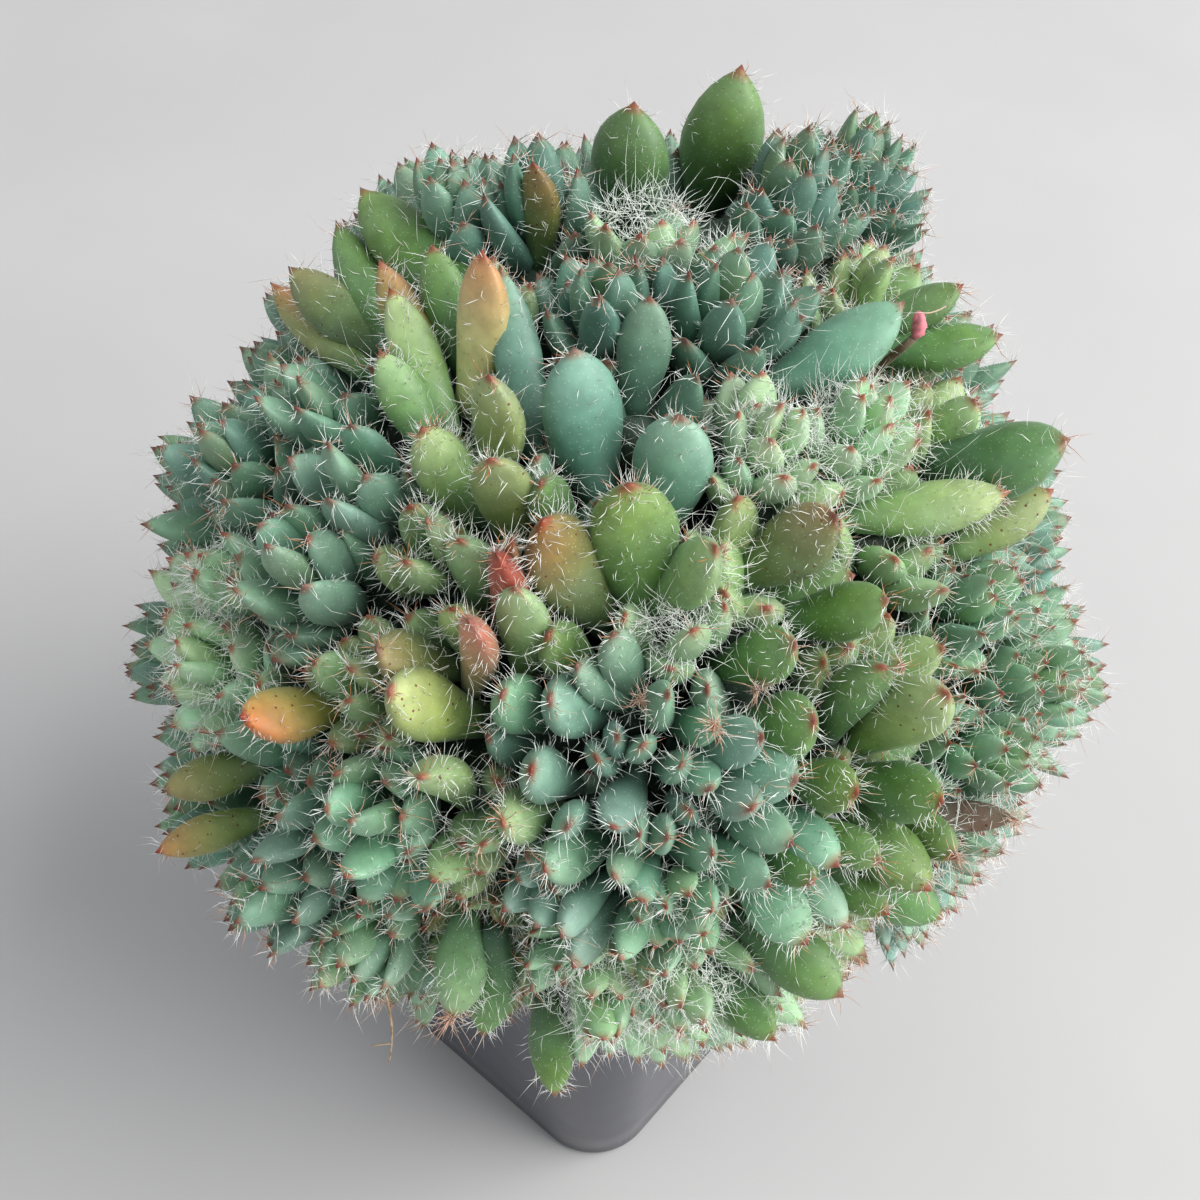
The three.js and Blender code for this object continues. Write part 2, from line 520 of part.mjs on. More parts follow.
// The core that a rosette's leaves stand out of: old leaf bases, packed round the stem.
function coreGeometry(rosette) {
  const at = (depth) => rosette.crown.clone().addScaledVector(rosette.axis, -depth);
  const radii = CORE_FORM.map((ring) => rosette.room * ring.share);
  return rod(CORE_FORM.map((ring) => at(ring.depth)), radii, CORE_SIDES, at(CORE_TIP));
}

const standingSolid = (leaf, grow) => solidOf(leafGeometry(leaf, LARGE_FORM, LARGE_SIDES, grow));

function spiralSolid(leaf) {
  return solidOf(leafGeometry({ ...leaf, width: leaf.width * SOLID_WIDTH }, SMALL_FORM, SMALL_SIDES, 0));
}

// One rosette with leaves taken evenly from its spiral, cut back to its walls.
function rosetteSolid(rosette, most) {
  const step = Math.ceil(rosette.leaves.length / most);
  const parts = rosette.leaves.filter((_, i) => i % step === 0).map(spiralSolid);
  const whole = wasm.Manifold.union([solidOf(coreGeometry(rosette)), ...parts]);
  const outside = rosette.walls.filter((wall) => wall.apart < radians(WALLS.cutWithin)).map(
    (wall) => beyond(HEART.clone().addScaledVector(wall.normal, -GAP / 2), wall.normal),
  );
  return whole.subtract(wasm.Manifold.union(outside));
}

// The point from which the rosettes of one shoot fork, on the way from the heart.
function forkOf(own) {
  const foot = new THREE.Vector3();
  own.forEach((rosette) => foot.addScaledVector(rosette.crown, 1 / own.length));
  const depth = own.length > 1 ? FORK_DEPTH : CORE_FORM[0].depth;
  const axis = foot.clone().sub(HEART).normalize();
  return foot.addScaledVector(axis, -depth);
}

// A shoot: its rosettes, the fork that joins them when there is more than one, and its standing leaves.
function shootSolid(name, rosettes, standing) {
  const own = rosettes.filter((rosette) => rosette.shoot === name);
  const fork = forkOf(own);
  const most = own.length > 1 ? MOST_LEAVES.forked : MOST_LEAVES.alone;
  const parts = own.map((rosette) => rosetteSolid(rosette, most));
  if (own.length > 1) {
    own.forEach((rosette) => {
      const end = rosette.crown.clone().addScaledVector(rosette.axis, -CORE_FORM[1].depth);
      parts.push(solidOf(rod([fork, end], [STEM.branchEnd, STEM.forkEnd], STEM.branchSides)));
    });
  }
  let solid = wasm.Manifold.union(parts);
  const down = HEART.clone().sub(fork).normalize();
  solid = solid.subtract(beyond(fork, down)).subtract(potGuard);
  const foreign = standing.filter((leaf) => leaf.rosette.shoot !== name);
  solid = solid.subtract(wasm.Manifold.union(foreign.map((leaf) => standingSolid(leaf, GAP))));
  const first = standing.findIndex((leaf) => leaf.rosette.shoot === name);
  const before = standing.slice(0, Math.max(first, 0));
  for (const leaf of standing.filter((each) => each.rosette.shoot === name)) {
    let blade = standingSolid(leaf, 0);
    const crossed = before.filter((each) => each.rosette.shoot !== name);
    const cuts = crossed.map((each) => standingSolid(each, GAP));
    if (cuts.length) blade = blade.subtract(wasm.Manifold.union(cuts));
    solid = solid.add(blade);
  }
  return mainBody(solid);
}

// The stem in the mix, its knot at the mound's heart and a branch to each shoot.
function stemSolid(forks) {
  const foot = SOIL.top - SOIL.holeDepth + GAP;
  const path = [
    new THREE.Vector3(0, 0, foot), new THREE.Vector3(0, 0, SOIL.top + STEM.bends[0]),
    new THREE.Vector3(HEART.x / 2, HEART.y / 2, SOIL.top + STEM.bends[1]), HEART,
  ];
  const trunk = rod(path, path.map(() => STEM.radius), STEM.sides);
  const knot = new THREE.SphereGeometry(STEM.knot, STEM.sides, STEM.sides / 2);
  knot.translate(HEART.x, HEART.y, HEART.z);
  const branches = forks.map((fork) => {
    const out = fork.clone().sub(HEART);
    const start = HEART.clone().addScaledVector(out, 0.85 * STEM.knot / out.length());
    const end = HEART.clone().addScaledVector(out, 1 - GAP / out.length());
    return solidOf(rod([start, end], [STEM.branchFoot, STEM.branchEnd], STEM.branchSides));
  });
  return mainBody(wasm.Manifold.union([solidOf(trunk), solidOf(knot), ...branches]));
}

// A rounded square of the given side, at a height.
function squareRing(side, z, radius) {
  const ring = [];
  const inset = side / 2 - radius;
  [[1, 1], [-1, 1], [-1, -1], [1, -1]].forEach(([sx, sy], corner) => {
    for (let i = 0; i <= CORNER_STEPS; i += 1) {
      const turn = radians(90 * (corner + i / CORNER_STEPS));
      const x = sx * inset + radius * Math.cos(turn);
      const y = sy * inset + radius * Math.sin(turn);
      ring.push(new THREE.Vector3(x, y, z));
    }
  });
  return ring;
}

const potSide = (z) => mix(POT.base, POT.rim, z / POT.height);

function potSolid() {
  const lipFoot = POT.height - POT.lipHeight;
  const lip = POT.rim + 2 * POT.lipOut;
  const outside = loft([
    squareRing(POT.base - 2 * POT.footIn, 0, POT.cornerRadius),
    squareRing(potSide(POT.footHeight), POT.footHeight, POT.cornerRadius),
    squareRing(potSide(lipFoot), lipFoot, POT.cornerRadius),
    squareRing(lip - POT.lipDraft, lipFoot, POT.cornerRadius + POT.lipOut),
    squareRing(lip, POT.height - POT.edge, POT.cornerRadius + POT.lipOut),
    squareRing(lip - POT.edge, POT.height, POT.cornerRadius + POT.lipOut - POT.edge / 2),
  ]);
  const inner = (z) => potSide(z) - 2 * POT.wall;
  const inside = loft([
    squareRing(inner(POT.floor), POT.floor, POT.cornerRadius - POT.wall),
    squareRing(inner(POT.height + 1), POT.height + 1, POT.cornerRadius - POT.wall),
  ]);
  let solid = solidOf(outside).subtract(solidOf(inside));
  for (const [sx, sy] of [[1, 1], [-1, 1], [-1, -1], [1, -1]]) {
    const hole = new THREE.CylinderGeometry(POT.holeRadius, POT.holeRadius, 4 * POT.floor, HOLE_SIDES);
    hole.rotateX(Math.PI / 2);
    hole.translate(sx * POT.holeAt, sy * POT.holeAt, 0);
    solid = solid.subtract(solidOf(hole));
  }
  return solid;
}

// The room that leaves keep free round the pot.
function guardSolid() {
  const side = POT.rim + 2 * (POT.lipOut + GUARD_OUT);
  const radius = POT.cornerRadius + POT.lipOut + GUARD_OUT;
  const guard = loft([squareRing(side, 0, radius), squareRing(side, POT.height + GUARD_OUT, radius)]);
  guard.rotateZ(radians(-VIEW_TURN));
  return solidOf(guard);
}

// The mix fills the pot, with a lumpy top and the stem's hole in the middle.
function soilSolid() {
  const side = (z) => potSide(z) - 2 * (POT.wall + GAP);
  const radius = POT.cornerRadius - POT.wall - GAP;
  const foot = POT.floor + GAP;
  const rings = [squareRing(side(foot), foot, radius), squareRing(side(SOIL.top), SOIL.top, radius)];
  for (let k = 1; k < SOIL.rings; k += 1) {
    const shrink = 1 - k / SOIL.rings;
    const ring = squareRing(side(SOIL.top) * shrink, SOIL.top, radius * shrink);
    ring.forEach((point) => {
      point.z += SOIL.lump * Math.sin(point.x * SOIL.waves[0] + k) * Math.cos(point.y * SOIL.waves[1] - k);
    });
    rings.push(ring);
  }
  const middle = new THREE.Vector3(0, 0, SOIL.top);
  const hole = new THREE.CylinderGeometry(
    STEM.radius + GAP, STEM.radius + GAP, 2 * SOIL.holeDepth, 2 * STEM.sides,
  );
  hole.rotateX(Math.PI / 2);
  hole.translate(0, 0, SOIL.top);
  return mainBody(solidOf(loft(rings, middle)).subtract(solidOf(hole)));
}

function piece(name, solid, colour, roughness) {
  const material = new THREE.MeshStandardMaterial({ color: colour, roughness, metalness: 0 });
  const mesh = new THREE.Mesh(geometryOf(solid), material);
  mesh.name = name;
  return mesh;
}

const rosettes = placeRosettes();
rosettes.forEach((rosette) => {
  rosette.walls = wallsOf(rosette, rosettes);
  rosette.room = roomOf(rosette);
});
const standing = standingLeaves(rosettes);
rosettes.forEach((rosette) => { rosette.leaves = spiralLeaves(rosette, standing); });
const shoots = [...new Set(rosettes.map((rosette) => rosette.shoot))];

const potGuard = guardSolid();
const plant = new THREE.Group();
plant.rotation.z = radians(VIEW_TURN);
const forks = shoots.map((name) => forkOf(rosettes.filter((rosette) => rosette.shoot === name)));
plant.add(piece('stems', stemSolid(forks), 0x6f5a44, 0.9));
for (const name of shoots) {
  const kind = rosettes.find((rosette) => rosette.shoot === name).kind;
  plant.add(piece(`rosette_${name}`, shootSolid(name, rosettes, standing), LEAF_COLOURS[kind], 0.65));
}

const pottedPlant = new THREE.Group();
pottedPlant.add(piece('pot', potSolid(), 0x4a4c52, 0.5));
pottedPlant.add(piece('potting_mix', soilSolid(), 0x3b3029, 1));
pottedPlant.add(plant);

export default pottedPlant;
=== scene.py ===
"""Looks for a potted rundelli echeveria: leaves, hairs, stem, mix and pot, with its light and camera."""
import math

import bpy
import numpy as np
from mathutils import Matrix, Vector
from mathutils.geometry import tessellate_polygon


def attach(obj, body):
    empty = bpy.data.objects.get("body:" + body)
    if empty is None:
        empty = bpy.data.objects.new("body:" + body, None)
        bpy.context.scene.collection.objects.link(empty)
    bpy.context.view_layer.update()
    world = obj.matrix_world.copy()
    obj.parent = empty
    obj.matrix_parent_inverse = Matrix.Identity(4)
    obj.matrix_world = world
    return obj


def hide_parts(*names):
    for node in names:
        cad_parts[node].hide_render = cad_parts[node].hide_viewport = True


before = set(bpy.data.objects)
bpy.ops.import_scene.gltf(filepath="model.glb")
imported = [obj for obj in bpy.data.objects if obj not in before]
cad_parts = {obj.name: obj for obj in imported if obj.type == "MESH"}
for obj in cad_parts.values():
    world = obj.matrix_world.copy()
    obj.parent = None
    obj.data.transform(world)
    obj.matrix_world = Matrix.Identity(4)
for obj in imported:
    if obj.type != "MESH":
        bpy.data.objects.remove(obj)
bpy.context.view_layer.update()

# Everything is laid out in millimetres as the photograph shows it, with +Y away from the eye, then
# turned on the pot and scaled to metres. The numbers of the layout are the CAD model's.
MILLIMETRE = 0.001
VIEW_TURN = 41
EYE = {"distance": 200.0, "elevation": 50.0, "focal": 1600.0, "centre": 600.0, "aim": (2.5, 0.0, 104.0)}
FRAME_PIXELS = 1200.0
SENSOR = 36.0
HEART = np.array((4.0, 6.0, 99.0))
MOUND = np.array((63.0, 63.0, 56.0))
POT_KEEP_OUT = {"side": 35.6, "top": 86.6}
UP = np.array((0.0, 0.0, 1.0))
EAST = np.array((1.0, 0.0, 0.0))
NEARLY_ALONG = 0.9

# The pot: outer sides of its square at the bottom and at the rim, and its other measures.
POT = {"base": 49.0, "rim": 68.0, "height": 86.0, "wall": 1.4, "floor": 2.0, "corner": 10.0,
       "lip_height": 7.0, "lip_out": 1.0, "foot_height": 1.5, "hole_radius": 3.0, "hole_at": 13.0,
       "corner_steps": 14, "hole_sides": 28, "wall_rings": 9, "inside_rings": 7, "fillet": 1.0}

# The rings of its edges. Foot: what the side lacks, and the height. Lip: what the side and the corner's
# radius lack, and the depth under the top. Inside: the depth under the top or the height over the floor,
# and how far the side is over the wall's.
POT_FOOT = ((1.6, 0.0), (0.4, 0.35))
POT_LIP = ((0.9, 0.0, 7.0), (0.6, 0.0, 6.7), (0.05, 0.0, 1.0), (0.25, 0.0, 0.35), (1.0, 0.4, 0.0))
POT_INSIDE = {"top": ((0.0, 0.5), (0.4, 0.12), (1.2, 0.0)), "floor": ((0.3, -0.6), (0.0, -1.4))}
CORNERS = ((1, 1), (-1, 1), (-1, -1), (1, -1))

# The mix, the stem in it with its knot, and the branches to the shoots.
SOIL = {"top": 80.0, "gap": 0.3, "rings": 26, "lump": 0.8, "rough": 0.45, "hole": 5.3, "hole_depth": 12.0,
        "edge": 0.6, "foot_in": 1.2, "rim_in": 0.2, "waves": (0.9, 0.7), "drift": 0.3, "fade": (4, 8),
        "colour": (58, 47, 38), "tones": (0.5, 1.5)}
GRAINS = {"count": 1500, "margin": 3.0, "clear": 1.2, "size": (0.5, 1.9), "wide": (0.55, 1.0),
          "thick": (0.35, 0.7), "height": (0.1, 0.9), "sides": 6,
          "rings": ((-0.7, 0.6), (0.0, 1.0), (0.65, 0.65)),
          "wobble": (0.75, 1.15), "top": (0.8, 1.1), "turned": 0.6, "light": (0.7, 1.25),
          "colours": ((92, 66, 44), (60, 44, 32), (120, 92, 64),
                      (48, 40, 34), (150, 140, 124), (205, 202, 194)),
          "odds": (0.3, 0.28, 0.16, 0.14, 0.07, 0.05)}
STEM = {"radius": 5.0, "bends": (2.0, 12.0), "knot": 9.5, "foot": 1.1, "end": 1.4, "fork_end": 2.6,
        "taper": (0.95, 1.1), "sides": 18, "knot_tilts": (8, 172, 12), "knot_sides": 20, "start": 0.8,
        "sag": 0.5, "branch_steps": 9, "branch_sides": 8}
FORK = {"inset": 9.0, "sag": 0.4, "steps": 7}
CORE_DEPTH = 27.0
FORK_DEPTH = 33.0
LIMB = {"rough": (0.88, 1.1), "tones": (0.6, 1.25)}

# How leaves sit on a rosette.
CROWN_INSET = 4.0
LIFT = {"most": 0.85, "from": -0.2, "over": 0.8}
ROOT_DEPTH = {"outer": 10.5, "inner": 1.5}
THICKNESS = 0.64
UPPER_SHARE = 0.42
BUD_CLOSING = 1.25
BOW = 15.0
STRAIGHT = 0.05
THROUGH = {"along": 0.22, "height": 0.97, "sink": 6.0}
GOLDEN_ANGLE = 137.508
PITCH_STEP = 3.0
LEAST_PITCH = 8.0
WALLS = {"within": 75.0, "nearest": 4, "leaf_share": 0.0, "tip_margin": -2.5}
IN_VIEW = {"standing": (0.32, 0.46, 0.6, 0.75, 0.88, 1.0), "other": (0.5, 0.65, 0.8, 0.92, 1.0),
           "share": 0.62, "slack": 0.5}
UNSEEN_REACH = 1.3
UNSEEN_LIFT = 0.4
FIRST_STATION = 0.4
STATIONS = (0.65, 0.85, 1.0)
SPIRAL = {"wander": 9, "stretch": (0.88, 1.1), "lean": (0.9, 1.08), "growth": 0.8}
NEAR = {"own": 0.65, "other": 0.3, "widths": 0.3}

# Kinds of rosette: length and width of the outermost and the innermost leaf, the widest pitch, how
# closely the leaves stand, how plump they are and how many hairs each square millimetre carries.
KINDS = {
    "blue": {"outer": (16.0, 5.5), "inner": (9.5, 3.9), "spread": 78, "crowding": 5.6,
             "plump": 0.95, "hairs": 0.08},
    "hairy": {"outer": (13.5, 5.6), "inner": (8.0, 3.8), "spread": 82, "crowding": 5.4,
              "plump": 1.0, "hairs": 0.26},
    "mixed": {"outer": (15.0, 5.0), "inner": (9.0, 3.4), "spread": 80, "crowding": 5.6,
              "plump": 0.98, "hairs": 0.12},
    "small": {"outer": (12.5, 5.0), "inner": (7.5, 3.2), "spread": 76, "crowding": 5.8,
              "plump": 1.0, "hairs": 0.06},
    "green": {"outer": (14.5, 6.0), "inner": (9.5, 4.4), "spread": 78, "crowding": 4.6,
              "plump": 1.05, "hairs": 0.34},
    "full": {"outer": (17.0, 6.0), "inner": (8.5, 3.4), "spread": 82, "crowding": 6.4,
             "plump": 1.0, "hairs": 0.08},
}

# How gaps between the spirals are closed: spacing of the places that are tried, the clear space that
# counts as a gap against a leaf's width, and the depth of the root, size and height of the new leaf.
FILL = {"spacing": 1.3, "chunk": 400, "gap": 0.58, "root": (7.0, 11.0), "width": (0.65, 1.05),
        "height": (0.935, 0.98), "lowest_tilt": 112.0, "stations": (0.72, 0.86, 1.0),
        "standing": (0.42, 0.56, 0.7, 0.85, 1.0)}

# The leaf's outline and side view: half width and half thickness at shares of its length.
OUTLINE = {
    "along": (0.0, 0.15, 0.32, 0.48, 0.6, 0.7, 0.8, 0.88, 0.94, 0.98),
    "wide": (0.42, 0.57, 0.79, 0.96, 1.0, 0.94, 0.8, 0.6, 0.36, 0.14),
    "thick": (0.60, 0.78, 0.93, 1.0, 0.98, 0.89, 0.72, 0.50, 0.29, 0.12),
}
POINT_LENGTH = 0.02
SIDES = {"seen": 10, "unseen": 8, "standing": 16}

# How a leaf's colour runs: the paler young leaves, painted shade on the underside and at the edges, the
# lean of a blush, the rusty skin before the point, and how far leaves differ in hue and lightness.
TONE = {"young_share": 0.45, "young": 0.75, "young_along": 1.3, "under": 0.3, "edge": 0.16, "blush": 0.3,
        "rust": 0.6, "red_length": (0.55, 0.95), "red_full": 0.985, "point": 0.8, "red": (-0.1, 0.12),
        "blue": (-0.12, 0.1), "light": (0.82, 1.14)}

# The core of old leaf bases, its dark green near the crown painted shade between the leaves: depths under
# the crown, and the shares of the rosette's room there.
CORE = {"depths": (27.0, 21.0, 15.5, 11.0, 7.5, 4.5), "shares": (0.45, 0.66, 0.86, 0.98, 0.86, 0.45),
        "sides": 14, "rough": (0.8, 1.0), "tones": (0.6, 1.2), "fade": 15.0, "top": 2.5}

# Hairs over the skin, in a star round the point, along the edges and in a tangle over a rosette's middle:
# how many, how thick and how long, where they stand, and how far they lean, stray and bend.
SKIN_HAIR = {"thickness": 0.09, "bends_in": (0.5,), "area": 2.2, "unseen": 0.55, "from": 0.3, "span": 0.66,
             "crowding": 0.6, "forward": (0.25, 0.75), "stray": 0.28, "bend": 0.38, "droop": 0.2,
             "length": (0.8, 2.2)}
POINT_HAIR = {"seen": (7, 12), "unseen": (3, 6), "along": (0.93, 0.985), "length": (1.0, 2.4),
              "amber_from": 0.92, "amber": (0.3, 1.0)}
EDGE_HAIR = {"thickness": 0.075, "each_mm": 0.9, "seen": 0.6, "unseen": 0.2, "along": (0.35, 0.95),
             "turn": (-0.3, 0.5), "forward": 0.5, "stray": 0.25, "length": (0.5, 1.3)}
CROWN_HAIR = {"thickness": 0.08, "bends_in": (0.35, 0.7), "reach": 0.66, "height": (1.6, -1.0), "up": 0.5,
              "out": 0.35, "stray": 0.7, "bend": 0.65, "length": (1.2, 3.2)}
CROWN_HAIRS = {"hairy": 300, "mixed": 90, "small": 40, "green": 40, "blue": 30, "full": 15}
AMBER_SHARE = {"hairy": 0.2, "mixed": 0.35, "small": 0.3, "green": 0.6, "blue": 0.35, "full": 0.15}
HAIR_TAPER = 0.35
HAIR_ROOT = 0.08
HAIR_CURL = 1.2

# Shoots that the photograph shows. Each is one rosette, or a few that share a branch.
SEEN = [
    ("top_mid", "hairy", (648, 186), 1.0, 1.03, 1.0),
    ("top_mid_low", "blue", (608, 292), 1.0, 1.0, 0.95),
    ("top_right", "blue", (795, 160), 1.0, 1.04, 0.95),
    ("top_far_right", "mixed", (872, 140), 1.0, 1.06, 0.9),
    ("upper_right", "blue", (735, 290), 1.0, 1.0, 1.0),
    ("shoulder_right", "green", (900, 285), 1.0, 0.97, 0.9),
    ("crown_right", "hairy", (792, 425), 1.0, 1.03, 0.9),
    ("crown_right", "hairy", (878, 405), 1.0, 1.02, 0.9),
    ("side_right", "green", (968, 420), 1.0, 0.96, 0.95),
    ("centre_top", "blue", (640, 400), 1.1, 1.0, 1.0),
    ("centre_young", "small", (545, 470), 0.8, 0.97, 1.0),
    ("top_left", "blue", (540, 180), 1.0, 1.0, 1.0),
    ("top_far_left", "blue", (440, 185), 1.0, 1.01, 0.95),
    ("ridge_top", "green", (455, 300), 0.9, 1.0, 0.9),
    ("back_left", "blue", (325, 375), 1.0, 0.97, 1.03),
    ("ridge_upper", "green", (455, 420), 0.9, 1.0, 0.9),
    ("left_upper", "blue", (345, 470), 1.0, 1.0, 1.1),
    ("left_far", "blue", (215, 455), 1.0, 0.97, 1.02),
    ("left_mid", "blue", (285, 565), 1.0, 1.0, 1.12),
    ("left_hairy", "hairy", (182, 660), 1.0, 0.98, 1.0),
    ("left_hairy", "hairy", (195, 585), 0.9, 0.98, 1.0),
    ("club_left", "green", (415, 550), 0.8, 1.0, 0.9),
    ("centre", "green", (600, 560), 0.9, 1.0, 1.0),
    ("right_brown", "green", (780, 560), 1.0, 1.0, 1.0),
    ("right_pale", "green", (935, 530), 1.0, 0.97, 1.0),
    ("centre_hairy", "hairy", (685, 630), 0.9, 1.0, 1.0),
    ("ridge_low", "green", (445, 660), 0.9, 1.0, 0.9),
    ("low_left_inner", "green", (345, 700), 0.9, 1.0, 0.85),
    ("smooth_mid", "blue", (553, 750), 1.0, 1.0, 1.15),
    ("small_mid", "small", (632, 752), 0.9, 1.01, 0.9),
    ("right_inner", "blue", (762, 700), 1.0, 1.0, 1.05),
    ("right_green", "green", (885, 680), 1.0, 0.98, 1.0),
    ("right_upper", "mixed", (1000, 610), 1.0, 0.97, 0.92),
    ("right_edge", "mixed", (1062, 685), 1.0, 0.99, 0.88),
    ("right_edge_low", "mixed", (1016, 772), 1.0, 0.99, 0.86),
    ("right_edge_low", "small", (990, 852), 0.8, 0.97, 0.8),
    ("low_left", "blue", (262, 800), 1.0, 0.98, 1.1),
    ("low_left_mid", "mixed", (362, 820), 1.0, 1.0, 1.15),
    ("low_left_edge", "blue", (258, 905), 1.0, 1.0, 1.03),
    ("low_club", "green", (465, 830), 0.9, 1.0, 0.9),
    ("small_low", "small", (700, 820), 0.8, 1.0, 1.0),
    ("right_low", "blue", (795, 815), 1.0, 0.98, 0.85),
    ("right_low_green", "green", (890, 820), 1.0, 0.96, 1.0),
    ("low_small_hairy", "small", (590, 875), 0.9, 1.0, 1.0),
    ("low_small_hairy", "mixed", (690, 910), 0.9, 1.0, 0.9),
    ("low_right_green", "green", (805, 925), 1.0, 0.95, 1.0),
    ("low_front_left", "mixed", (348, 968), 1.0, 0.98, 1.0),
    ("low_front", "green", (462, 982), 1.0, 0.93, 0.85),
    ("bottom", "hairy", (600, 1030), 1.0, 0.99, 0.9),
    ("bottom", "hairy", (692, 1016), 0.9, 0.99, 0.9),
]

# Shoots on the far side, by bearing, tilt from upright and height on the mound.
UNSEEN = [
    ("far_right", 84, 58, 0.87),
    ("far_right", 74, 90, 0.94),
    ("rear_right", 112, 56, 0.89),
    ("rear_right", 100, 90, 0.93),
    ("rear_mid_right", 138, 66, 0.96),
    ("rear_mid_right", 126, 95, 0.96),
    ("rear_upper", 174, 34, 0.94),
    ("rear_upper", 163, 59, 0.96),
    ("rear_mid", 152, 95, 0.97),
    ("rear_mid", 178, 88, 0.98),
    ("rear_left", -170, 57, 0.96),
    ("rear_left", -145, 48, 0.95),
    ("rear_left_low", -155, 83, 0.97),
    ("rear_far_left", -124, 62, 0.88),
    ("rear_far_left", -130, 94, 0.93),
    ("far_left_upper", -104, 53, 0.84),
    ("far_left", -97, 72, 0.9),
    ("far_left", -104, 97, 0.94),
    ("far_left_low", -78, 90, 0.92),
    ("far_left_low", -56, 92, 0.95),
]

